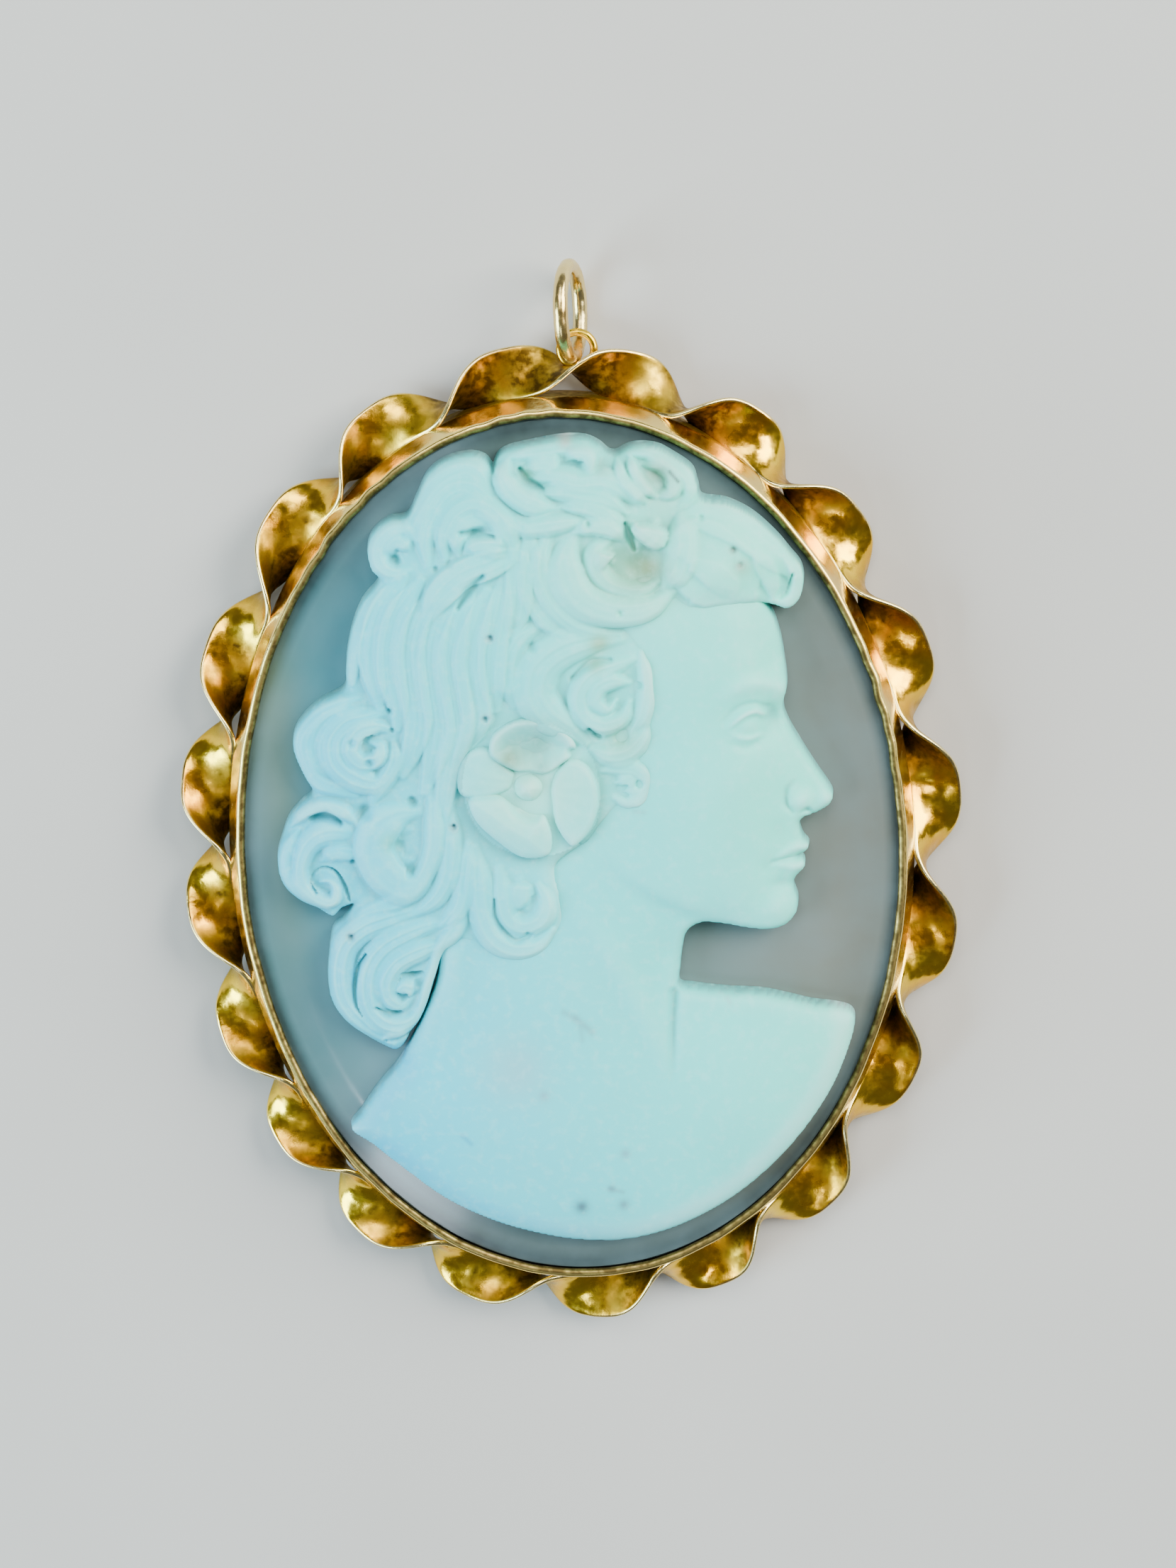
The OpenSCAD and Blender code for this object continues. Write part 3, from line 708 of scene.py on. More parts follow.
# Features of the face and neck: ridges and grooves along curves. Points, widths, rises.
skinRidges = [
    ([(9.55, 7.1), (8.8, 7.45), (7.8, 7.4), (6.8, 6.8)], [0.35, 0.42, 0.45, 0.4], [0.12, 0.2, 0.16, 0.02]),
    ([(8.75, 6.0), (8.35, 6.2), (7.8, 6.05), (7.2, 5.6)], [0.13, 0.15, 0.15, 0.12],
     [0.2, 0.26, 0.22, 0.06]),
    ([(8.9, 6.35), (8.3, 6.6), (7.6, 6.45), (6.9, 5.85)], [0.12, 0.12, 0.12, 0.12],
     [-0.08, -0.12, -0.1, -0.02]),
    ([(8.5, 5.05), (8.1, 4.98), (7.6, 5.1), (7.2, 5.35)], [0.12, 0.13, 0.12, 0.1], [0.1, 0.14, 0.1, 0.03]),
    ([(8.4, 4.7), (7.9, 4.6), (7.2, 4.85)], [0.16, 0.18, 0.16], [-0.05, -0.07, -0.02]),
    ([(10.35, -0.28), (9.9, -0.32), (9.4, -0.5), (8.95, -0.72)], [0.2, 0.22, 0.18, 0.1],
     [0.12, 0.16, 0.12, 0.0]),
    ([(10.2, -1.15), (9.8, -1.18), (9.3, -1.05), (8.95, -0.86)], [0.22, 0.24, 0.18, 0.1],
     [0.12, 0.18, 0.1, 0.0]),
    ([(10.15, -0.76), (9.7, -0.74), (9.3, -0.78), (8.85, -0.84)], [0.08, 0.08, 0.08, 0.1],
     [-0.12, -0.14, -0.14, -0.1]),
    ([(9.9, -1.95), (9.3, -1.85), (8.7, -1.75)], [0.25, 0.28, 0.25], [-0.08, -0.12, -0.02]),
    ([(9.95, 2.75), (9.62, 2.35), (9.6, 1.75), (9.85, 1.35)], [0.12, 0.14, 0.14, 0.1],
     [-0.04, -0.14, -0.2, -0.1]),
    ([(10.75, 1.22), (10.5, 1.38), (10.25, 1.3)], [0.09, 0.12, 0.09], [-0.1, -0.24, -0.12]),
    ([(4.25, -6.6), (4.1, -8.2), (4.0, -10.3)], [0.22, 0.2, 0.18], [-0.3, -0.22, -0.02]),
    ([(-0.5, -1.5), (1.2, -4.0), (2.7, -7.0), (3.6, -9.6)], [0.7, 0.7, 0.6, 0.4], [0.02, 0.14, 0.16, 0.04]),
    ([(-5.4, -4.4), (-5.6, -6.2), (-6.3, -8.4)], [0.35, 0.4, 0.5], [0.1, 0.1, 0.02])]

# Swellings and hollows: x, y, half sizes, turn, rise
skinSwells = [
    (10.25, 1.85, 0.48, 0.42, 20, 0.22), (8.75, 5.6, 0.9, 0.75, 0, -0.22),
    (8.2, 5.55, 0.62, 0.45, -10, 0.2), (9.15, 6.0, 0.4, 0.6, 10, -0.22), (9.1, -3.0, 0.75, 0.65, 0, 0.22),
    (6.4, 2.6, 1.8, 1.5, 0, 0.08), (9.2, 0.6, 0.5, 0.5, 0, -0.06), (8.6, -1.0, 0.35, 0.4, 0, -0.06),
    (11.35, 1.85, 0.4, 0.38, 0, 0.14)]

jawLine = [(9.6, -3.9), (8.4, -3.75), (7.0, -3.3), (5.4, -2.7), (3.8, -1.9), (2.4, -0.9), (1.2, 0.6)]
skinLook = dict(grid=0.09, jaw=0.28, jawReach=1.6, rounding=0.4)


def skinHeight(x, y):
    look = skinLook
    h = laidOver(skinForm, x, y)
    for points, width, rise in skinRidges:
        h = h + ridge(x, y, points, width, rise)
    for values in skinSwells:
        h = h + swell(x, y, *values)
    # Below the jaw the neck lies back
    dist, side, along = nearestOnCurve(x, y, smoothCurve(jawLine, 0.1))
    under = side * dist
    fade = np.interp(along, [0, 0.1, 0.6, 0.85, 1], [0, 0.6, 1, 0.4, 0])
    behind = 0.5 + 0.5 * np.tanh((under - 0.25) / 0.28)
    h = h - look['jaw'] * fade * behind * np.exp(-np.clip(under, 0, None) / look['jawReach'])
    # The outline is rounded over, wide along the foot of the bust and narrow along the face
    d = insideDistance(x, y, skinOutline, 1.6)
    wide = np.interp(y[:, :1] + 0 * x, [-9, -7, -4, 12], [0.95, 0.5, 0.4, 0.4])
    h = h - look['rounding'] * quarterFall(1 - np.clip(d / wide, 0, 1)) + steepness * np.clip(d, None, 0)
    return h, d


# Outline of the hair, anticlockwise from the top
hairOutline = [
    (-2.5, 17.8), (-2.85, 18.4), (-3.5, 18.6), (-4.5, 18.4), (-5.3, 17.8), (-5.8, 16.8), (-6.3, 15.9),
    (-7.2, 15.7), (-7.9, 15.1), (-8.15, 14.3), (-8.05, 13.5), (-7.75, 12.9), (-8.5, 12.0), (-9.0, 10.9),
    (-9.3, 9.8), (-9.45, 8.7), (-9.6, 7.95), (-10.8, 7.3), (-11.7, 6.4), (-12.0, 5.6), (-11.95, 4.9),
    (-11.6, 4.0), (-11.3, 3.2), (-11.8, 2.75), (-12.4, 2.1), (-12.8, 1.2), (-13.05, 0.4), (-13.05, -0.5),
    (-12.8, -1.2), (-12.2, -1.75), (-11.5, -2.1), (-10.8, -2.5), (-10.35, -2.15), (-9.8, -2.0),
    (-10.2, -2.6), (-10.8, -3.1), (-11.05, -4.2), (-11.2, -5.4), (-11.1, -6.4), (-10.6, -7.3), (-9.8, -8.0),
    (-9.0, -8.5), (-8.4, -8.75), (-8.0, -8.5), (-7.65, -7.95), (-7.0, -7.0), (-6.4, -5.4), (-5.9, -4.2),
    (-5.2, -3.9), (-4.7, -4.1), (-4.0, -4.6), (-3.0, -4.75), (-1.8, -4.6), (-0.9, -4.0), (-0.5, -3.0),
    (-0.6, -1.8), (-0.7, -0.4), (0.6, 0.6), (2.0, 1.9), (3.2, 2.0), (3.8, 3.0), (3.9, 4.8), (4.1, 6.5),
    (4.0, 8.0), (4.1, 9.5), (4.8, 10.4), (5.9, 10.9), (7.2, 11.1), (8.6, 11.1), (9.5, 10.9), (10.0, 10.7),
    (10.5, 11.0), (10.75, 11.7), (10.7, 12.5), (10.2, 13.3), (9.5, 14.2), (8.6, 15.1), (7.6, 15.7),
    (6.5, 16.0), (6.3, 16.7), (6.1, 17.4), (5.4, 18.0), (4.6, 18.5), (3.6, 18.6), (2.9, 18.3), (2.5, 18.4),
    (2.1, 18.8), (1.5, 19.1), (0.5, 19.15), (-0.6, 19.0), (-1.7, 18.8), (-2.2, 18.5), (-2.4, 18.0)]

# Level of the hollows between the locks: x, y, height
hairForm = [
    (-4.2, 17.8, 0.9), (0.2, 18.6, 0.95), (4.9, 17.8, 0.95), (-4.0, 15.5, 1.45), (0.0, 16.2, 1.7),
    (3.0, 16.2, 1.7), (6.3, 15.6, 1.25), (8.2, 14.6, 1.15), (9.9, 12.9, 0.8), (10.3, 11.6, 0.6),
    (6.6, 12.8, 1.95), (8.3, 12.2, 1.45), (9.3, 11.5, 1.0), (6.6, 11.0, 1.86), (4.6, 10.6, 2.05),
    (3.2, 13.2, 1.85), (0.0, 13.0, 1.9), (-3.0, 11.0, 1.95), (-6.0, 11.5, 1.5), (-8.4, 10.5, 0.95),
    (-7.2, 14.4, 0.95), (-6.0, 7.5, 1.55), (-8.8, 8.2, 1.0), (-3.0, 8.0, 1.95), (0.0, 8.5, 2.05),
    (1.8, 7.2, 2.05), (3.6, 6.0, 2.0), (3.2, 3.2, 1.85), (-1.7, 3.0, 1.9), (-9.2, 5.4, 1.2),
    (-11.4, 5.3, 0.7), (-7.2, 3.3, 1.2), (-5.4, 1.0, 1.5), (-2.4, -1.0, 1.75), (-2.6, -3.4, 1.6),
    (-7.9, 0.6, 1.15), (-10.6, 0.6, 0.8), (-12.4, 0.0, 0.6), (-5.6, -2.6, 1.25), (-7.4, -3.6, 1.0),
    (-8.6, -5.6, 0.8), (-10.6, -5.2, 0.55), (-8.2, -7.8, 0.6), (-6.8, -5.8, 0.9)]

# Locks of hair: points, half widths, rise over the hollows, strands
locks = {
    'topLeft': [
        ([(-6.3, 14.6), (-6.15, 15.7), (-5.5, 16.9), (-4.6, 17.8), (-3.6, 18.1), (-3.0, 17.6),
          (-2.8, 16.7)], [0.4, 0.5, 0.5, 0.42], [0.3, 0.35, 0.3], 2),
        ([(-5.55, 13.7), (-5.6, 15.1), (-5.1, 16.4), (-4.3, 17.2), (-3.4, 17.2), (-2.7, 16.5),
          (-2.2, 15.5)], [0.3, 0.46, 0.46, 0.4], [0.35, 0.45, 0.4], 2),
        ([(-4.75, 13.9), (-4.8, 15.0), (-4.3, 16.05), (-3.4, 16.5), (-2.5, 16.0), (-1.95, 15.0),
          (-1.8, 14.0)], [0.25, 0.42, 0.42, 0.4], [0.4, 0.55, 0.5], 2),
        ([(-4.15, 14.1), (-4.2, 14.9), (-3.75, 15.6), (-3.0, 15.7), (-2.5, 15.2)],
         [0.2, 0.34, 0.34, 0.2], [0.4, 0.5, 0.3], 1),
        ([(-2.0, 14.4), (-2.8, 14.6), (-3.5, 14.5), (-3.9, 14.2)], [0.5, 0.42, 0.25],
         [0.55, 0.55, 0.4], 2)],
    'sideCurl': [
        ([(-6.0, 14.9), (-6.5, 15.4), (-7.2, 15.25), (-7.7, 14.6), (-7.65, 13.85), (-7.1, 13.4),
          (-6.4, 13.5)], [0.3, 0.42, 0.42, 0.35], [0.35, 0.4, 0.4, 0.3], 2),
        ([(-6.3, 14.4), (-6.7, 14.8), (-7.1, 14.6), (-7.1, 14.15)], [0.25, 0.3, 0.2], [0.4, 0.4, 0.3], 1)],
    'crown': [
        ([(-1.85, 18.35), (-2.05, 17.6), (-1.6, 16.85), (-0.8, 16.35), (0.2, 16.1)],
         [0.28, 0.42, 0.46, 0.3], [0.45, 0.6, 0.55, 0.3], 1),
        ([(-2.3, 17.0), (-2.1, 16.1), (-1.5, 15.4), (-0.7, 15.3), (0.3, 15.4), (1.4, 15.5)],
         [0.22, 0.36, 0.4, 0.3], [0.3, 0.45, 0.45], 2),
        ([(-1.7, 18.55), (-0.6, 18.75), (0.5, 18.85), (1.5, 18.75), (2.15, 18.35)],
         [0.25, 0.34, 0.36, 0.25], [0.3, 0.35, 0.35, 0.3], 2),
        ([(-1.0, 18.0), (-0.2, 18.2), (0.5, 18.3)], [0.25, 0.42, 0.25], [0.35, 0.42, 0.4], 1),
        ([(0.75, 18.3), (1.1, 18.55), (1.6, 18.45), (1.7, 18.0), (1.3, 17.85)], [0.25, 0.3, 0.25],
         [0.5, 0.55, 0.5], 1),
        ([(-0.9, 17.5), (0.2, 17.6), (1.2, 17.3), (2.2, 17.3), (3.0, 16.9), (3.8, 16.1)],
         [0.25, 0.42, 0.42, 0.3], [0.4, 0.55, 0.55, 0.4], 2),
        ([(-0.6, 16.8), (0.4, 16.9), (1.4, 16.7), (2.4, 16.4), (3.2, 15.7)], [0.25, 0.4, 0.4, 0.25],
         [0.35, 0.5, 0.5, 0.35], 2),
        ([(0.4, 16.2), (1.4, 16.1), (2.3, 15.7), (3.0, 15.0)], [0.25, 0.36, 0.3], [0.4, 0.5, 0.4], 1)],
    'topRight': [
        ([(2.9, 18.15), (3.1, 17.4), (3.6, 16.7), (4.1, 16.1)], [0.18, 0.25, 0.22], [0.5, 0.6, 0.5], 1),
        ([(3.45, 18.25), (3.65, 17.5), (4.0, 16.9), (4.5, 16.35)], [0.18, 0.24, 0.2], [0.5, 0.6, 0.5], 1),
        ([(3.4, 18.4), (4.4, 18.4), (5.3, 17.9), (5.9, 17.2), (6.0, 16.4), (5.6, 15.9)],
         [0.25, 0.38, 0.38, 0.3], [0.35, 0.4, 0.4, 0.35], 2),
        ([(4.0, 17.9), (4.8, 17.8), (5.3, 17.2), (5.2, 16.55), (4.6, 16.4)], [0.25, 0.34, 0.32, 0.25],
         [0.4, 0.45, 0.45, 0.4], 1)],
    'rosette': [
        ([(-0.1, 15.1), (-0.5, 14.2), (-0.55, 13.1), (-0.2, 12.0), (0.5, 11.1), (1.5, 10.5), (2.7, 10.2)],
         [0.3, 0.42, 0.42, 0.3], [0.35, 0.5, 0.5, 0.3], 2),
        ([(1.0, 14.9), (0.55, 14.1), (0.45, 13.2), (0.8, 12.2), (1.6, 11.5), (2.8, 11.2), (4.0, 11.35),
          (5.0, 12.0)], [0.4, 0.6, 0.6, 0.5, 0.4], [0.5, 0.75, 0.75, 0.6], 1),
        ([(0.9, 15.0), (1.7, 15.2), (2.5, 15.0), (3.0, 14.5)], [0.25, 0.34, 0.25], [0.45, 0.55, 0.5], 1),
        ([(2.5, 14.6), (1.85, 14.1), (1.75, 13.3), (2.1, 12.6), (2.8, 12.2), (3.7, 12.1), (4.4, 12.5)],
         [0.3, 0.4, 0.36, 0.3], [0.45, 0.55, 0.5, 0.45], 2),
        ([(3.75, 14.3), (4.2, 14.8), (4.35, 15.15)], [0.5, 0.62, 0.5], [0.65, 0.75, 0.65], 1),
        ([(5.6, 15.5), (5.6, 14.6), (5.5, 13.7), (5.2, 12.8), (4.7, 12.2)], [0.4, 0.5, 0.5, 0.35],
         [0.55, 0.6, 0.5], 2),
        ([(2.3, 14.0), (2.2, 13.7), (2.4, 13.5)], [0.4, 0.42, 0.4], [0.6, 0.65, 0.6], 1)],
    'brow': [
        ([(5.6, 15.3), (6.9, 15.35), (8.1, 14.75), (9.1, 13.8), (9.8, 12.9), (10.3, 12.2)],
         [0.45, 0.62, 0.6, 0.5, 0.28], [0.3, 0.4, 0.4, 0.35, 0.3], 2),
        ([(5.0, 14.2), (6.2, 14.2), (7.2, 13.3), (7.9, 12.3), (8.3, 11.5)], [0.6, 0.9, 0.9, 0.7],
         [0.4, 0.42, 0.34, 0.1], 1),
        ([(8.7, 13.6), (9.1, 12.8), (9.35, 12.0), (9.4, 11.3)], [0.2, 0.3, 0.26, 0.16],
         [0.4, 0.42, 0.4, 0.25], 1),
        ([(5.2, 12.7), (6.2, 12.5), (7.0, 11.9), (7.5, 11.3)], [0.6, 0.8, 0.6], [0.35, 0.3, 0.08], 1),
        ([(10.0, 13.2), (10.5, 12.5), (10.58, 11.8), (10.3, 11.15), (9.8, 10.95), (9.4, 11.1)],
         [0.2, 0.26, 0.26, 0.24, 0.2], [0.5, 0.5, 0.45, 0.4], 1)],
    'back': [
        ([(-1.6, 14.1), (-2.8, 13.7), (-4.1, 13.2), (-5.1, 12.3), (-5.7, 11.2)],
         [0.4, 0.48, 0.48, 0.35], [0.45, 0.5, 0.4], 2),
        ([(-7.4, 13.0), (-8.25, 12.0), (-8.8, 10.8), (-9.1, 9.5), (-9.2, 8.3)], [0.16, 0.22, 0.22, 0.25],
         [0.25, 0.3, 0.3, 0.25], 1),
        ([(-6.6, 13.2), (-7.6, 11.9), (-8.1, 10.5), (-8.25, 9.2), (-8.1, 8.0), (-8.0, 7.2)],
         [0.3, 0.38, 0.4, 0.3], [0.35, 0.4, 0.35], 2),
        ([(-5.9, 13.0), (-6.9, 11.6), (-7.35, 10.1), (-7.4, 8.6), (-7.2, 7.3), (-7.3, 6.2)],
         [0.32, 0.42, 0.44, 0.3], [0.4, 0.45, 0.35], 2),
        ([(-5.2, 12.5), (-6.1, 11.2), (-6.5, 9.7), (-6.45, 8.1), (-6.35, 6.6), (-6.7, 5.2), (-7.2, 4.0)],
         [0.35, 0.45, 0.45, 0.3], [0.35, 0.4, 0.35], 3),
        ([(-4.6, 12.0), (-5.3, 10.8), (-5.6, 9.2), (-5.5, 7.6), (-5.4, 6.1), (-5.8, 4.6), (-6.3, 3.2)],
         [0.4, 0.46, 0.46, 0.3], [0.35, 0.4, 0.35], 3),
        ([(-3.8, 12.3), (-4.4, 10.8), (-4.75, 9.2), (-4.6, 7.6), (-4.5, 6.2), (-5.0, 4.7), (-5.4, 3.0),
          (-5.7, 1.4)], [0.4, 0.46, 0.46, 0.36, 0.3], [0.35, 0.4, 0.4, 0.35], 3),
        ([(-3.0, 12.4), (-3.5, 11.0), (-3.9, 9.4), (-3.85, 7.8), (-3.8, 6.5), (-4.6, 5.0)],
         [0.38, 0.46, 0.46, 0.4], [0.35, 0.4, 0.35], 2),
        ([(-2.2, 13.0), (-2.5, 11.6), (-2.85, 10.0), (-3.0, 8.4), (-2.95, 7.0)],
         [0.34, 0.44, 0.44, 0.36], [0.35, 0.4, 0.35], 2),
        ([(-1.5, 14.3), (-1.6, 12.9), (-1.75, 11.5), (-2.05, 10.4)], [0.36, 0.42, 0.42, 0.3],
         [0.3, 0.38, 0.3], 2),
        ([(-1.1, 15.2), (-1.05, 14.0), (-1.2, 12.8), (-0.9, 11.7), (-0.3, 10.8), (0.6, 10.2)],
         [0.25, 0.34, 0.34, 0.25], [0.3, 0.35, 0.3], 1)],
    'cheek': [
        ([(2.6, 9.9), (1.4, 9.95), (0.1, 9.6), (-0.9, 8.8), (-1.2, 7.6), (-0.7, 6.6), (0.2, 5.9),
          (0.9, 5.2)], [0.45, 0.62, 0.7, 0.65, 0.4], [0.4, 0.5, 0.5, 0.45], 2),
        ([(-0.8, 10.7), (-1.7, 10.2), (-2.2, 9.2), (-2.3, 8.1), (-2.1, 7.1)], [0.3, 0.4, 0.4, 0.3],
         [0.35, 0.42, 0.4], 2),
        ([(3.2, 9.0), (2.4, 8.7), (1.5, 8.4), (0.9, 7.8), (0.75, 7.0), (1.1, 6.3), (1.8, 6.0), (2.6, 6.3),
          (2.9, 7.0)], [0.35, 0.38, 0.4, 0.38, 0.3], [0.35, 0.45, 0.5, 0.45], 2),
        ([(2.9, 7.9), (2.2, 8.0), (1.6, 7.7), (1.45, 7.1), (1.9, 6.75), (2.3, 7.1)],
         [0.3, 0.32, 0.28, 0.22], [0.4, 0.5, 0.5], 1),
        ([(3.5, 9.2), (3.75, 8.2), (3.7, 7.2), (3.45, 6.3), (2.9, 5.5)], [0.26, 0.34, 0.34, 0.25],
         [0.3, 0.35, 0.3], 2),
        ([(1.2, 4.9), (2.0, 4.55), (2.8, 4.7), (3.4, 5.3), (3.7, 6.0)], [0.3, 0.4, 0.38, 0.22],
         [0.35, 0.4, 0.3], 2),
        ([(1.6, 3.9), (2.3, 3.95), (3.0, 3.9), (3.45, 3.4), (3.35, 2.7), (2.7, 2.35), (2.1, 2.6)],
         [0.25, 0.34, 0.34, 0.28], [0.25, 0.35, 0.35, 0.3], 1),
        ([(2.2, 3.3), (2.7, 3.4), (2.9, 3.0), (2.5, 2.9)], [0.22, 0.25, 0.2], [0.3, 0.35, 0.3], 1)],
    'leftCurl': [
        ([(-9.0, 7.6), (-9.9, 7.35), (-10.9, 6.8), (-11.6, 5.8), (-11.5, 4.8), (-11.1, 3.9), (-10.1, 3.4),
          (-9.3, 3.1)], [0.3, 0.36, 0.38, 0.36, 0.25], [0.4, 0.4, 0.35, 0.3], 1),
        ([(-8.8, 7.2), (-9.7, 7.0), (-10.6, 6.4), (-11.0, 5.4), (-10.8, 4.5), (-10.1, 3.95)],
         [0.25, 0.3, 0.32, 0.22], [0.35, 0.35, 0.3], 1),
        ([(-7.7, 7.0), (-8.6, 6.75), (-9.5, 6.5), (-10.15, 5.7), (-10.1, 4.7), (-9.4, 4.0), (-8.4, 3.7),
          (-7.7, 4.3)], [0.3, 0.45, 0.48, 0.48, 0.35], [0.4, 0.5, 0.5, 0.45], 2),
        ([(-7.6, 6.1), (-8.2, 6.3), (-9.0, 6.1), (-9.4, 5.3), (-9.0, 4.7), (-8.3, 4.8), (-8.1, 5.4),
          (-8.5, 5.6)], [0.3, 0.35, 0.32, 0.3, 0.25], [0.45, 0.55, 0.5, 0.55], 1),
        ([(-7.5, 5.6), (-7.5, 4.7), (-7.9, 3.9), (-8.4, 3.2), (-8.7, 2.6)], [0.28, 0.32, 0.3, 0.2],
         [0.35, 0.4, 0.3], 1)],
    'innerCurl': [
        ([(-6.6, 2.3), (-7.6, 2.15), (-8.4, 1.6), (-8.7, 0.6), (-8.3, -0.5), (-7.5, -1.1), (-6.8, -0.9),
          (-6.4, -0.2)], [0.45, 0.66, 0.68, 0.66, 0.4], [0.45, 0.6, 0.6, 0.5], 1),
        ([(-7.0, 1.5), (-7.7, 1.5), (-8.0, 0.8), (-7.6, 0.1), (-7.0, 0.1)], [0.3, 0.4, 0.4, 0.25],
         [0.15, 0.2, 0.2, 0.2], 1)],
    'leftSpiral': [
        ([(-12.3, 1.8), (-11.6, 2.45), (-10.8, 2.65), (-10.0, 2.4), (-9.4, 1.8)],
         [0.22, 0.28, 0.3, 0.22], [0.35, 0.45, 0.4], 1),
        ([(-12.0, 1.6), (-12.55, 0.8), (-12.75, -0.1), (-12.4, -0.95), (-11.7, -1.6), (-10.9, -2.1)],
         [0.2, 0.3, 0.32, 0.3, 0.2], [0.3, 0.35, 0.35, 0.3], 1),
        ([(-9.2, 1.0), (-10.0, 1.4), (-11.0, 1.35), (-11.7, 0.8), (-12.05, -0.1), (-11.95, -0.9),
          (-11.3, -1.6), (-10.7, -1.7), (-10.5, -1.2), (-10.75, -0.8), (-11.2, -0.8)],
         [0.5, 0.5, 0.42, 0.3, 0.3, 0.24, 0.16], [0.35, 0.45, 0.45, 0.4, 0.4], 2),
        ([(-9.3, 0.4), (-9.8, 0.5), (-10.5, 0.5), (-11.0, 0.2)], [0.35, 0.36, 0.3], [0.3, 0.35, 0.3], 1)],
    'napeStrands': [
        ([(-6.0, 3.4), (-5.95, 2.0), (-6.05, 0.6), (-6.6, -0.7), (-7.6, -1.7), (-9.0, -2.1), (-9.8, -2.5)],
         [0.28, 0.32, 0.32, 0.3, 0.2], [0.45, 0.45, 0.4, 0.35], 1),
        ([(-5.2, 2.4), (-5.3, 0.9), (-5.5, -0.6), (-6.1, -1.7), (-7.1, -2.4)], [0.3, 0.36, 0.34, 0.3],
         [0.35, 0.4, 0.35], 2),
        ([(-4.5, 0.8), (-4.75, -0.8), (-5.1, -2.1), (-5.9, -3.0)], [0.3, 0.36, 0.34, 0.3],
         [0.3, 0.35, 0.35], 2),
        ([(-4.9, -1.6), (-5.2, -2.9), (-5.8, -3.8), (-6.3, -5.0), (-6.8, -6.2), (-7.3, -7.4)],
         [0.25, 0.3, 0.3, 0.25, 0.15], [0.3, 0.35, 0.35, 0.3], 1)],
    'bigCurl': [
        ([(-6.6, -2.2), (-7.9, -2.5), (-9.3, -2.95), (-10.3, -3.8), (-10.65, -5.0), (-10.55, -6.2),
          (-10.0, -7.1), (-9.2, -7.85), (-8.45, -8.35)],
         [0.4, 0.46, 0.46, 0.46, 0.4, 0.3], [0.4, 0.45, 0.5, 0.45, 0.4], 2),
        ([(-5.8, -2.8), (-7.2, -3.2), (-8.5, -3.85), (-9.25, -4.8), (-9.45, -6.0), (-9.15, -7.0),
          (-8.4, -7.5), (-7.5, -7.3), (-7.1, -6.6)],
         [0.36, 0.44, 0.44, 0.42, 0.3], [0.4, 0.5, 0.5, 0.45], 2),
        ([(-5.9, -3.8), (-7.0, -4.1), (-8.0, -4.6), (-8.55, -5.4), (-8.5, -6.2), (-8.0, -6.6),
          (-7.5, -6.3)], [0.34, 0.4, 0.38, 0.34, 0.25], [0.4, 0.5, 0.5, 0.45], 2),
        ([(-7.3, -5.9), (-7.8, -5.8), (-7.9, -6.1)], [0.3, 0.34, 0.25], [0.4, 0.45, 0.4], 1),
        ([(-8.9, -8.15), (-8.3, -7.95), (-7.7, -7.75)], [0.15, 0.2, 0.15], [0.3, 0.35, 0.3], 1)],
    'neckCurl': [
        ([(-4.2, 0.6), (-4.15, -0.9), (-4.1, -2.3), (-3.7, -3.5), (-2.8, -4.1), (-1.7, -4.0), (-1.0, -3.3)],
         [0.36, 0.46, 0.48, 0.46, 0.3], [0.35, 0.42, 0.42, 0.35], 2),
        ([(-3.2, -0.4), (-3.15, -1.7), (-2.95, -2.7), (-2.3, -3.1), (-1.5, -2.8), (-1.2, -2.0),
          (-1.5, -1.2)], [0.36, 0.42, 0.42, 0.4, 0.3], [0.3, 0.38, 0.4, 0.35], 2),
        ([(-2.3, -1.0), (-2.35, -1.8), (-2.1, -2.2)], [0.4, 0.45, 0.4], [0.3, 0.36, 0.34], 1)]}

# Deep gaps at the edge of the hair, which end low over the ground: points, half widths
gaps = [
    ([(-11.4, -1.3), (-11.62, -0.85), (-11.45, -0.4), (-11.0, -0.2), (-10.5, -0.4), (-10.15, -1.05),
      (-9.95, -1.8)], [0.06, 0.13, 0.13, 0.14, 0.12]),
    ([(-9.4, -4.2), (-9.82, -4.85), (-10.02, -5.7), (-10.0, -6.5), (-9.7, -7.1)],
     [0.04, 0.14, 0.16, 0.12, 0.03]),
    ([(-7.8, -5.2), (-7.35, -5.22), (-6.95, -5.15)], [0.08, 0.15, 0.08]),
    ([(10.28, 12.3), (10.12, 11.8), (9.95, 11.4)], [0.02, 0.08, 0.02]),
    ([(-8.2, -8.75), (-7.95, -8.4), (-7.6, -8.05)], [0.2, 0.14, 0.05])]

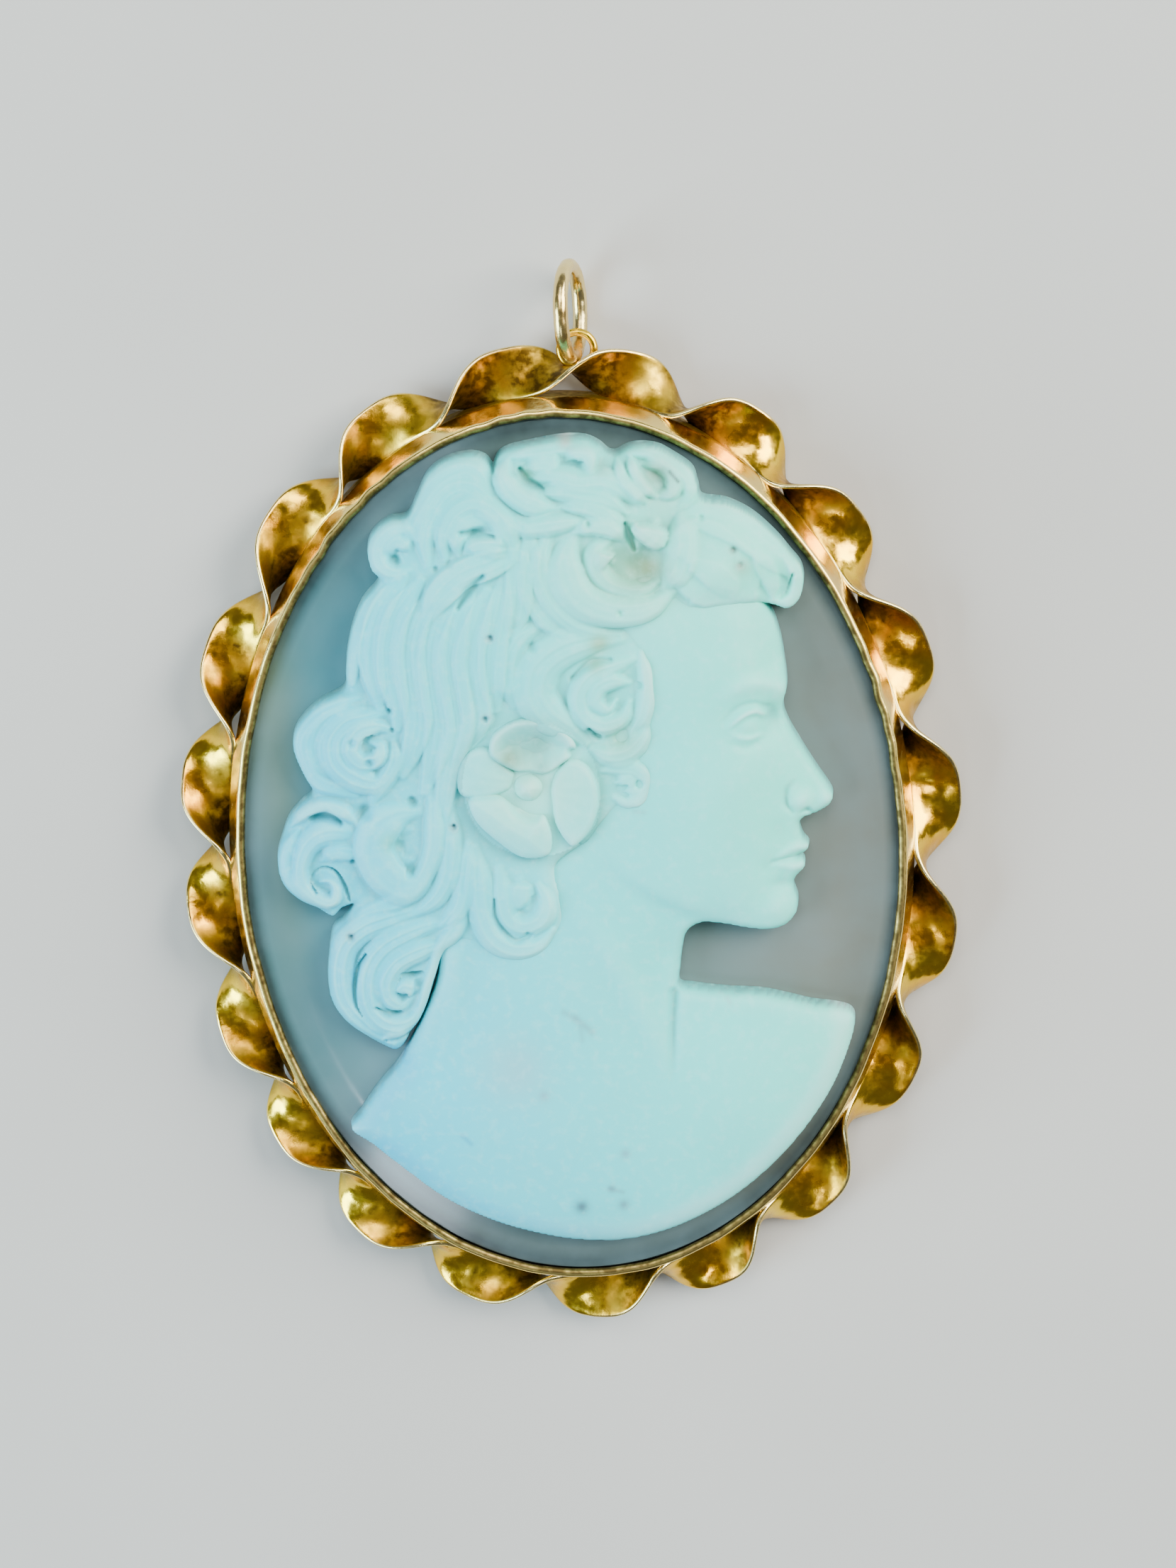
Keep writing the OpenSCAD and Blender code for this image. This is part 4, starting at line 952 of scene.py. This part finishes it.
# Cuts between the locks: points, half widths, depth
cuts = [
    ([(-3.15, 13.15), (-3.7, 12.6), (-4.3, 11.7)], [0.08, 0.16, 0.06], 0.4),
    ([(-1.3, 17.9), (-0.95, 17.4), (-0.35, 17.0)], [0.08, 0.14, 0.05], 0.4),
    ([(-4.0, 15.15), (-3.4, 15.15), (-2.6, 14.95)], [0.08, 0.16, 0.06], 0.4),
    ([(-11.4, 2.1), (-10.75, 2.2), (-10.15, 1.85)], [0.08, 0.16, 0.08], 0.5),
    ([(3.1, 15.2), (3.3, 14.6), (3.45, 14.0)], [0.06, 0.12, 0.06], 0.4),
    ([(2.2, 9.0), (1.3, 8.85), (0.45, 8.2)], [0.06, 0.12, 0.06], 0.3),
    ([(1.1, 5.85), (1.5, 5.5)], [0.08, 0.1], 0.4),
    ([(-9.1, -6.65), (-8.6, -6.95), (-8.0, -6.9)], [0.05, 0.1, 0.05], 0.3),
    ([(-8.75, -8.2), (-8.2, -8.15), (-7.75, -8.0)], [0.05, 0.07, 0.05], 0.2),
    ([(-3.5, -1.8), (-3.5, -2.6), (-3.1, -3.3), (-2.6, -3.7), (-1.9, -3.45)],
     [0.04, 0.09, 0.09, 0.09, 0.04], 0.2)]

# Points drilled between the curls: x, y, radius, depth
drilled = [
    (-3.0, 10.3, 0.14, 0.3), (-3.4, 6.55, 0.13, 0.3), (-5.1, 1.6, 0.12, 0.4), (-10.0, -3.35, 0.16, 0.3),
    (-6.85, 2.75, 0.22, 0.4), (7.75, 13.75, 0.14, 0.3), (8.0, 13.05, 0.12, 0.2), (6.4, 15.3, 0.14, 0.25),
    (2.7, 11.2, 0.14, 0.2), (1.5, 15.35, 0.15, 0.3), (-8.6, 4.65, 0.22, 0.35), (-9.35, 5.6, 0.2, 0.2),
    (-7.0, 13.95, 0.24, 0.4), (3.15, 3.2, 0.16, 0.35), (3.4, 7.75, 0.16, 0.3), (-7.6, 7.0, 0.14, 0.35),
    (-7.55, 6.1, 0.12, 0.3), (-5.2, 13.5, 0.14, 0.25), (3.7, 13.2, 0.6, 0.35), (4.7, 17.3, 0.35, 0.2),
    (-7.6, 0.7, 0.3, 0.2), (2.5, 5.4, 0.3, 0.25), (-2.1, -3.4, 0.12, 0.25), (-9.7, 0.05, 0.12, 0.3),
    (-1.2, 9.75, 0.2, 0.25), (-4.6, 13.75, 0.16, 0.2), (-9.0, 2.3, 0.35, 0.4), (2.9, 1.95, 0.2, 0.1)]


# A lock of hair is a rounded band along a curve. Its height is the crown's height, less a circle's fall
# toward each side, less fine grooves between its strands. Both ends narrow and sink under what is near.
hairLook = dict(grid=0.07, widen=1.35, fall=0.42, groove=0.015, soft=0.2, ends=0.24, hollows=0.03,
                cuts=0.75, drills=0.6, rounding=0.34, gapFloor=0.75, gapSlope=3)
hairGroups = {
    'back': dict(hairLook, fall=0.11, soft=0.3, groove=0.014),
    'brow': dict(hairLook, fall=0.17, soft=0.5, groove=0.006),
    'napeStrands': dict(hairLook, fall=0.3, soft=0.24),
    'bigCurl': dict(hairLook, fall=0.36, groove=0.024),
    'leftCurl': dict(hairLook, fall=0.36, groove=0.024),
    'cheek': dict(hairLook, soft=0.24)}


def addLock(height, x, y, points, halfWidth, rise, strands, level, look):
    curve = smoothCurve(points)
    reach = max(halfWidth) * look['widen'] + 0.5
    part = windowOf(x, y, curve.min(0) - reach, curve.max(0) + reach)
    if part is None:
        return
    dist, side, along = nearestOnCurve(x[part], y[part], curve)
    stand = np.sin(np.pi / 2 * np.clip(np.minimum(along, 1 - along) / look['ends'], 0, 1))
    wide = look['widen'] * laidAlong(along, halfWidth) * (0.45 + 0.55 * stand)
    top = level[part] + laidAlong(along, rise) * (0.25 + 0.75 * stand)
    inner = np.clip(dist / wide, 0, 1)
    drop = look['fall'] * quarterFall(inner) + 4 * np.clip(dist - wide, 0, None)
    q = side * inner
    comb = np.cos(np.pi * (strands + 1) * q)
    comb = comb + 0.6 * np.cos(np.pi * (2.3 * strands + 1.6) * q + 3 * along + 1)
    cut = look['groove'] * comb * np.clip(1.15 - inner, 0, 1) * (0.3 + 0.7 * stand)
    height[part] = smoothMax(height[part], top - drop - cut, look['soft'])


def hairHeight(x, y):
    look = hairLook
    level = laidOver(hairForm, x, y) + look['hollows']
    height = level + 0.1
    for name, group in locks.items():
        for points, halfWidth, rise, strands in group:
            addLock(height, x, y, points, halfWidth, rise, strands, level, hairGroups.get(name, look))
    for points, halfWidth, depth in cuts:
        dist, side, along = nearestOnCurve(x, y, smoothCurve(points))
        wide = 1.4 * laidAlong(along, halfWidth)
        height = height - look['cuts'] * depth * np.exp(-(dist / wide) ** 2)
    for cx, cy, radius, depth in drilled:
        away = ((x - cx) ** 2 + (y - cy) ** 2) / radius ** 2
        height = height - look['drills'] * depth * np.exp(-away ** 1.5)
    d = insideDistance(x, y, hairOutline, 1.2)
    fall = look['rounding'] * quarterFall(1 - np.clip(d / 0.5, 0, 1))
    height = height - fall + steepness * np.clip(d, None, 0)
    for points, halfWidth in gaps:
        dist, side, along = nearestOnCurve(x, y, smoothCurve(points))
        beside = dist - laidAlong(along, halfWidth) + 0.1
        height = np.minimum(height, look['gapFloor'] + look['gapSlope'] * np.clip(beside, 0, None))
    return height, d


# Flower over the ear. Petals from the lowest to the highest: outline, height of the rim, how far the
# middle swells over it (hollow if less than zero), width of the rounded rim
petals = [
    ([(-4.3, 2.0), (-4.6, 3.4), (-4.2, 5.0), (-3.2, 6.0), (-1.7, 6.35), (-0.2, 6.0), (0.9, 5.0), (1.4, 3.4),
      (1.2, 1.6), (0.2, 0.5), (-1.2, 0.1), (-2.6, 0.3), (-3.7, 1.0)], 1.95, 0.0, 0.5),
    ([(0.2, 5.2), (0.8, 5.0), (1.4, 4.2), (1.65, 3.2), (1.6, 2.2), (1.2, 1.2), (0.5, 0.5), (0, 1), (0, 3),
      (0, 4.5)], 2.1, 0.06, 0.35),
    ([(-4.75, 3.2), (-4.75, 4.2), (-4.3, 5.0), (-3.4, 5.2), (-2.8, 4.6), (-2.2, 3.9), (-2.4, 3.3),
      (-3.2, 3.0), (-4.1, 2.9)], 2.3, 0.1, 0.3),
    ([(-3.3, 5.0), (-3.1, 5.8), (-2.2, 6.4), (-1.2, 6.45), (-0.2, 6.05), (0.4, 5.4), (0.4, 4.8),
      (-0.2, 4.3), (-0.9, 3.9), (-2.0, 4.0), (-2.9, 4.5)], 2.5, -0.45, 0.26),
    ([(-0.7, 2.6), (-0.6, 1.6), (-0.2, 0.8), (0.2, 0.55), (0.9, 1.2), (1.3, 2.2), (1.3, 3.3), (0.9, 4.2),
      (0.2, 4.5), (-0.4, 4.0), (-0.7, 3.3)], 2.42, 0.08, 0.3),
    ([(-4.3, 2.9), (-4.1, 1.9), (-3.3, 1.0), (-2.3, 0.2), (-1.5, 0.05), (-0.9, 0.3), (-0.8, 1.2),
      (-1.1, 2.0), (-1.7, 2.1), (-2.5, 2.6), (-3.2, 3.0)], 2.42, 0.24, 0.4)]
flowerMiddle = (-1.7, 3.3)
flowerLook = dict(grid=0.05, button=0.55, buttonTop=2.5, ring=0.16, veins=0.006, rounding=0.28, sink=0.22)
# A fold beside the button: points, widths, rises
petalFold = ([(-2.5, 3.0), (-2.3, 2.3), (-1.6, 1.9), (-1.1, 2.2)], [0.14, 0.2, 0.18], [-0.1, -0.24, -0.12])
# Hollows in the petals: x, y, radius, depth
petalHollows = [(0.3, 4.85, 0.2, 0.35), (-0.4, 0.4, 0.16, 0.3), (-1.2, 5.3, 0.22, 0.1)]


def flowerHeight(x, y):
    look = flowerLook
    height = np.full(x.shape, -3.0)
    dx, dy = x - flowerMiddle[0], y - flowerMiddle[1]
    away, turn = np.hypot(dx, dy), np.arctan2(dy, dx)
    for k, (outline, rim, swellUp, edge) in enumerate(petals):
        d = insideDistance(x, y, outline, 1.6)
        middle = swellUp * (1 - np.exp(-(np.clip(d, 0, None) / 0.75) ** 2))
        body = rim - look['rounding'] * quarterFall(1 - np.clip(d / edge, 0, 1)) + middle
        body = body + look['veins'] * np.sin(22 * turn + 2 * k) * np.clip(d / 0.5, 0, 1)
        # Each petal but the lowest sinks toward the flower's middle
        body = body - look['sink'] * np.exp(-(away / 1.1) ** 2) * (k > 0)
        height = smoothMax(height, body + 9 * np.clip(d, None, 0), 0.05)
    height = height - look['ring'] * np.exp(-((away - look['button'] - 0.12) / 0.14) ** 2)
    button = look['buttonTop'] - 0.35 * (away / look['button']) ** 2 + 0.04 * np.cos(5 * turn) * away
    height = np.where(away < look['button'] + 0.1, smoothMax(height, button, 0.06), height)
    height = height + ridge(x, y, *petalFold)
    for cx, cy, radius, depth in petalHollows:
        height = height - depth * np.exp(-((x - cx) ** 2 + (y - cy) ** 2) / radius ** 2)
    return height


# Softened copy of a grid of numbers: each is averaged with its neighbours, near ones counting most
def blurred(grid, reach):
    taps = np.exp(-np.linspace(-2, 2, 2 * reach + 1) ** 2)
    taps /= taps.sum()
    for axis in (0, 1):
        first, last = (np.repeat(np.take(grid, [k], axis), reach, axis) for k in (0, -1))
        wide = np.concatenate((first, grid, last), axis)
        size = grid.shape[axis]
        grid = sum(tap * np.take(wide, range(k, k + size), axis) for k, tap in enumerate(taps))
    return grid


# Stains and specks in the pale layer: x, y, radius, colour, strength
stains = [
    (-1.6, 3.3, 2.7, (0.5, 0.95, 0.72), 0.5), (2.6, 13.0, 3.5, (0.42, 0.95, 0.74), 0.35),
    (3.5, 13.2, 1.2, (0.2, 0.36, 0.2), 0.65), (4.1, 13.1, 0.5, (0.3, 0.32, 0.12), 0.6),
    (1.75, 9.8, 0.45, (0.36, 0.45, 0.2), 0.6), (1.5, 8.85, 0.4, (0.28, 0.45, 0.24), 0.45),
    (-2.4, 4.75, 0.5, (0.16, 0.25, 0.1), 0.75), (-1.2, 5.3, 0.45, (0.1, 0.3, 0.25), 0.6),
    (-1.6, 5.2, 1.1, (0.15, 0.45, 0.38), 0.6), (-1.1, 4.25, 0.3, (0.12, 0.4, 0.35), 0.5),
    (2.5, 5.3, 0.8, (0.3, 0.55, 0.35), 0.5), (4.6, 17.4, 0.6, (0.34, 0.4, 0.26), 0.6),
    (4.8, 16.2, 1.0, (0.3, 0.6, 0.5), 0.4), (8.1, 12.9, 0.45, (0.25, 0.5, 0.36), 0.5),
    (0.7, 19.05, 0.3, (0.6, 0.45, 0.4), 0.5), (2.2, 17.9, 0.4, (0.2, 0.5, 0.42), 0.5),
    (-1.0, 17.7, 0.35, (0.25, 0.5, 0.3), 0.5), (-8.0, 1.0, 0.5, (0.1, 0.55, 0.45), 0.4),
    (-0.4, -15.9, 0.3, (0.1, 0.2, 0.25), 0.85), (1.5, -15.9, 0.24, (0.15, 0.3, 0.36), 0.7),
    (1.0, -15.1, 0.18, (0.15, 0.3, 0.36), 0.6), (-1.8, -10.7, 0.24, (0.2, 0.4, 0.5), 0.6),
    (1.7, -13.5, 0.22, (0.2, 0.4, 0.48), 0.6), (-3.0, -9.5, 1.5, (0.3, 0.56, 0.66), 0.5),
    (-3.0, 10.3, 0.2, (0.25, 0.4, 0.45), 0.7), (-3.4, 6.6, 0.2, (0.25, 0.4, 0.45), 0.7),
    (-5.1, 1.6, 0.2, (0.2, 0.36, 0.42), 0.8), (-10.0, -3.3, 0.22, (0.2, 0.36, 0.42), 0.8),
    (7.75, 13.75, 0.2, (0.3, 0.36, 0.3), 0.7), (8.0, 13.0, 0.18, (0.3, 0.36, 0.3), 0.6)]

# Fine lines in the pale layer: both ends, width, colour, strength
scratches = [
    (-0.7, -7.0, -0.2, -7.3, 0.14, (0.15, 0.5, 0.55), 0.55),
    (-0.2, -7.3, 0.5, -7.95, 0.17, (0.15, 0.45, 0.5), 0.6),
    (0.0, -7.7, 0.05, -8.3, 0.12, (0.15, 0.5, 0.55), 0.4),
    (5.15, 17.5, 5.5, 17.0, 0.07, (0.03, 0.05, 0.05), 0.95),
    (0.9, -15.1, 1.5, -15.3, 0.1, (0.15, 0.45, 0.5), 0.5),
    (-5.6, -12.4, -5.2, -12.8, 0.1, (0.0, 0.35, 0.6), 0.4),
    (2.9, 1.95, 3.3, 1.9, 0.12, (0.2, 0.55, 0.55), 0.4), (6.6, -7.0, 6.7, -7.2, 0.1, (0.3, 0.6, 0.6), 0.4)]


# Distance to the lower edge of the bust
def skinEdge(x, y):
    foot = [point for point in skinOutline if point[1] < -9.0 or (point[1] < -7.9 and point[0] > 11)]
    dist, side, along = nearestOnCurve(x, y, smoothCurve(foot, 0.2))
    return dist


tintLook = dict(cool=(0.0, 0.66, 0.86), pale=(0.16, 0.93, 0.76), deep=(0.1, 0.4, 0.41),
                crestHighlight=(0.6, 1.0, 0.95), under=(0.12, 0.2, 0.21))


# Colours of the carving from where its points stand, how high, and how far over their surroundings
def carvedTint(x, y, height, hollow):
    look = tintLook
    # Bluer on the left and low, aqua-white on the right and high: partly the stone's own colour, partly
    # painted cool light from the left
    left = np.clip(0.5 - x / 22 - y / 110, 0, 1)[..., None]
    tint = mixed(np.array(look['pale']), look['cool'], left)
    thin = np.clip((1.3 - height) / 1.2, 0, 1)[..., None]
    tint = tint * (1 - 0.2 * thin)
    # Painted shade: hollows are darker and deeper in colour. Painted highlight: what stands out is paler
    deep = np.clip(-hollow / 0.19, 0, 1)[..., None]
    tint = mixed(tint, look['deep'], 0.68 * deep)
    crestHighlight = np.clip(hollow / 0.2, 0, 1)[..., None]
    tint = mixed(tint, look['crestHighlight'], 0.6 * crestHighlight)
    under = np.clip((0.5 - height) / 0.7, 0, 1)[..., None]
    tint = mixed(tint, look['under'], 0.85 * under)
    # Painted light on the lower edge of the bust: painted shade, bluer, on the left and a painted highlight,
    # paler, on the right
    edge = np.exp(-((skinEdge(x, y) - 0.5) / 0.55) ** 2)[..., None]
    side = np.clip(0.5 + x / 9, 0, 1)[..., None]
    tint = tint + edge * ((0.25 - 0.25 * side) * np.array([-0.1, -0.35, -0.1]) + 0.2 * side * (0.95 - tint))
    # Shadowed ring round the flower
    away = np.clip(-insideDistance(x, y, petals[0][0], 1.3), 0, None)
    ring = 0.65 * np.exp(-(away / 0.42) ** 2) * (away > 0) * (0.75 - 0.25 * np.tanh((y - 3 + 0.4 * x) / 2))
    tint = tint * (1 - ring[..., None] * np.array([1.0, 0.62, 0.62]))
    for x0, y0, x1, y1, width, color, strength in scratches:
        dx, dy = x1 - x0, y1 - y0
        share = np.clip(((x - x0) * dx + (y - y0) * dy) / (dx ** 2 + dy ** 2), 0, 1)
        away = np.hypot(x - x0 - share * dx, y - y0 - share * dy)
        tint = mixed(tint, color, min(1.3 * strength, 1) * np.exp(-(away / width) ** 2)[..., None])
    for cx, cy, radius, color, strength in stains:
        away = ((x - cx) ** 2 + (y - cy) ** 2) / radius ** 2
        tint = mixed(tint, color, min(1.2 * strength, 1) * np.exp(-away)[..., None])
    return tint


# The tables of the carving are drawn as if seen flat. Its real middle stands a little nearer the bail, and
# its ends a little nearer the middle of the stone, by a parabola.
leanLook = dict(middle=0.5, fall=0.8, reach=18.5)


def drawnY(y):
    look = leanLook
    return y - look['middle'] + look['fall'] * (y / look['reach']) ** 2


browLook = dict(x=7.0, y=11.9, reachX=3.0, reachY=1.7, slope=0.45, start=0.05)


# Along the lower edge over the brow the hair rises from the skin at a slope, not from a step
def laidOnBrow(hair, hairIn, skin, skinIn, x, y):
    look = browLook
    near = np.exp(-((x - look['x']) / look['reachX']) ** 4 - ((y - look['y']) / look['reachY']) ** 4)
    near = near * np.clip((skinIn - 0.5) / 0.7, 0, 1)
    most = skin + look['start'] + look['slope'] * np.clip(hairIn, 0, None)
    return hair - near * np.clip(hair - most, 0, None)


# By what share the carving's relief is strengthened, within limits. The hair over the brow at the given
# place is smoother than the rest.
liftLook = dict(reaches=(0.4, 1.3), least=-0.16, most=0.25, hair=0.7, flower=0.3, brow=0.65,
                browAt=(8.2, 13.2), browReach=3.4)


# How far each point stands over its surroundings, near and farther, counting only what belongs to the piece
def overSurroundings(height, up, step):
    hollow = 0 * height
    for reach in liftLook['reaches']:
        taps = int(reach / step)
        around = blurred(height * up, taps) / np.clip(blurred(up * 1.0, taps), 0.05, None)
        hollow = hollow + 0.5 * (height - around) * up
    return hollow


# A solid from a grid of heights. Cells that lie below the given floor are left out, the rest get a wall
# down to a flat foot, and the foot is filled. Cells to skip lie hidden in another piece. What stands out is
# lifted, and hollows are sunk, by the share that lift gives.
def carvedPiece(name, x, y, height, lowest, foot, lift=0, skip=None):
    cols = height.shape[1]
    up = height > lowest + groundLevel(x, y)
    keep = up[:-1, :-1] | up[1:, :-1] | up[:-1, 1:] | up[1:, 1:]
    if skip is not None:
        keep &= ~(skip[:-1, :-1] & skip[1:, :-1] & skip[:-1, 1:] & skip[1:, 1:])
    # Where two cells touch at a corner only, others are added, so that every edge has two faces. Adding them
    # may bring about more such places, so this is done until there are none.
    for attempt in range(8):
        a, b, c, d = keep[:-1, :-1], keep[:-1, 1:], keep[1:, :-1], keep[1:, 1:]
        slant = (a & d & ~b & ~c) | (b & c & ~a & ~d)
        if not slant.any():
            break
        for cell in (a, b, d):
            cell |= slant
    hollow = overSurroundings(height, up, x[0, 1] - x[0, 0])
    height = height + lift * np.clip(hollow, liftLook['least'], liftLook['most'])
    tint = carvedTint(x, drawnY(y), height, hollow).reshape(-1, 3)
    i, j = np.nonzero(keep)
    corner = i * cols + j
    quads = np.stack((corner, corner + 1, corner + cols + 1, corner + cols), 1)
    framed = np.pad(keep, 1)
    walls = []
    for di, dj, first, second in ((-1, 0, 0, 1), (0, 1, 1, 2), (1, 0, 2, 3), (0, -1, 3, 0)):
        bare = ~framed[i + 1 + di, j + 1 + dj]
        walls.append(np.stack((quads[bare, first], quads[bare, second]), 1))
    walls = np.vstack(walls)
    # The grid's points that are used, and under those along a wall the points of the foot
    used, below = np.unique(quads), np.unique(walls)
    number, under = np.full(height.size, -1), np.full(height.size, -1)
    number[used] = np.arange(len(used))
    under[below] = len(used) + np.arange(len(below))
    flat = np.stack((x.ravel(), y.ravel(), groundTop + height.ravel()), 1)
    low = np.column_stack((flat[below, :2], np.full(len(below), groundTop + foot)))
    sides = np.stack((number[walls[:, 1]], number[walls[:, 0]], under[walls[:, 0]], under[walls[:, 1]]), 1)
    points, tint = np.vstack((flat[used], low)), np.vstack((tint[used], tint[below]))
    piece = makePiece(name, points, [number[quads], sides], carvedStone,
                      ['stone_relief'], tint)
    grid = bmesh.new()
    grid.from_mesh(piece.data)
    rim = [edge for edge in grid.edges if edge.is_boundary]
    bmesh.ops.triangle_fill(grid, edges=rim, use_beauty=False, use_dissolve=False, normal=(0, 0, -1))
    grid.to_mesh(piece.data)
    grid.free()


# Places at even steps between two limits across and two along
def gridOf(x0, x1, y0, y1, step):
    return np.meshgrid(np.arange(x0, x1, step), np.arange(y0, y1, step))


# The figure and the hair start a little below the ground's surface and stand on a foot deeper in it. The
# flower starts within the hair.
startsAt = -0.15

x, y = gridOf(-11.2, 12.9, -18.5, 14.0, skinLook['grid'])
skin, skinIn = skinHeight(x, drawnY(y))
hair, hairIn = hairHeight(x, drawnY(y))
hair = laidOnBrow(hair, hairIn, skin, skinIn, x, y)
carvedPiece('CarvedFigure', x, y, skin, startsAt, -0.7, skip=(hairIn > 0.5) & (hair > skin + 0.35))
print('Figure done')

x, y = gridOf(-13.6, 11.3, -9.2, 19.8, hairLook['grid'])
hair, hairIn = hairHeight(x, drawnY(y))
hair = laidOnBrow(hair, hairIn, *skinHeight(x, drawnY(y)), x, y)
away = np.hypot(x - liftLook['browAt'][0], y - liftLook['browAt'][1]) / liftLook['browReach']
hairLift = liftLook['hair'] - liftLook['brow'] * np.exp(-away ** 4)
carvedPiece('CarvedHair', x, y, hair, startsAt, -0.75, lift=hairLift)
print('Hair done')

x, y = gridOf(-5.3, 2.3, -0.2, 7.5, flowerLook['grid'])
flower = flowerHeight(x, drawnY(y))
carvedPiece('CarvedFlower', x, y, flower, 1.2, 0.9, lift=liftLook['flower'])
print('Flower done')

# Floor, light and camera
floorLook = dict(dark=(0.52, 0.5, 0.475), pale=(0.56, 0.54, 0.515), reach=1.5)
floorMaterial, tree, shader = newMaterial('PaleFloor')
coords = addNode(tree, 'ShaderNodeTexCoord').outputs['Object']
tone = addRange(tree, addNoise(tree, coords, 30, 3), 0.3, 0.7, 0, 1)
tree.links.new(addMix(tree, tone, floorLook['dark'], floorLook['pale']), shader.inputs['Base Color'])
shader.inputs['Roughness'].default_value = 0.7
mesh = bpy.data.meshes.new('Floor')
r = floorLook['reach']
mesh.from_pydata([(-r, -r, 0), (r, -r, 0), (r, r, 0), (-r, r, 0)], [], [(0, 1, 2, 3)])
mesh.materials.append(floorMaterial)
floor = bpy.data.objects.new('Floor', mesh)
bpy.context.scene.collection.objects.link(floor)

world = bpy.data.worlds.new('Studio')
bpy.context.scene.world = world
world.use_nodes = True
background = world.node_tree.nodes['Background']
background.inputs['Color'].default_value = (0.82, 0.87, 0.92, 1)
background.inputs['Strength'].default_value = 0.14


# Soft light from a square panel that faces the pendant: place and width in metres, watts, colour
def addPanel(name, place, width, power, color):
    light = bpy.data.lights.new(name, 'AREA')
    light.size = width
    light.energy = power
    light.color = color
    panel = bpy.data.objects.new(name, light)
    panel.location = place
    panel.rotation_euler = (-Vector(place)).to_track_quat('-Z', 'Y').to_euler()
    bpy.context.scene.collection.objects.link(panel)


addPanel('WindowLeft', (-0.46, -0.1, 0.26), 0.3, 5.2, (0.62, 0.86, 1.0))
addPanel('KeyRight', (0.42, 0.22, 0.34), 0.4, 7.4, (0.98, 0.98, 0.9))
addPanel('TopSoft', (-0.04, 0.34, 0.5), 0.3, 2.4, (0.95, 0.98, 0.95))
addPanel('BevelGlint', (-0.125, -0.285, 0.53), 0.07, 0.35, (0.75, 0.9, 1.0))

# The camera leans toward the bail's side by tilt and is rolled so that the pendant leans to the left
cameraLook = dict(tilt=13.0, roll=3.0, away=0.175, fov=17.0, target=(0.885, 3.21, 3.6))


def makeCamera(look):
    tilt, roll = np.radians(look['tilt']), np.radians(look['roll'])
    right = Vector((np.cos(roll), -np.sin(roll), 0))
    flatUp = Vector((np.sin(roll), np.cos(roll), 0))
    toCamera = Vector((0, 0, 1)) * np.cos(tilt) + flatUp * np.sin(tilt)
    up = toCamera.cross(right)
    place = (Vector(look['target']) + Vector(ovalMiddle)) * 0.001 + toCamera * look['away']
    data = bpy.data.cameras.new('PhotoCamera')
    data.sensor_fit = 'HORIZONTAL'
    data.angle = np.radians(look['fov'])
    data.clip_start = 0.01
    data.clip_end = 20
    camera = bpy.data.objects.new('PhotoCamera', data)
    bpy.context.scene.collection.objects.link(camera)
    columns = Matrix((right, up, toCamera)).transposed()
    camera.matrix_world = Matrix.Translation(place) @ columns.to_4x4()
    bpy.context.scene.camera = camera


makeCamera(cameraLook)
print('Camera and light done')
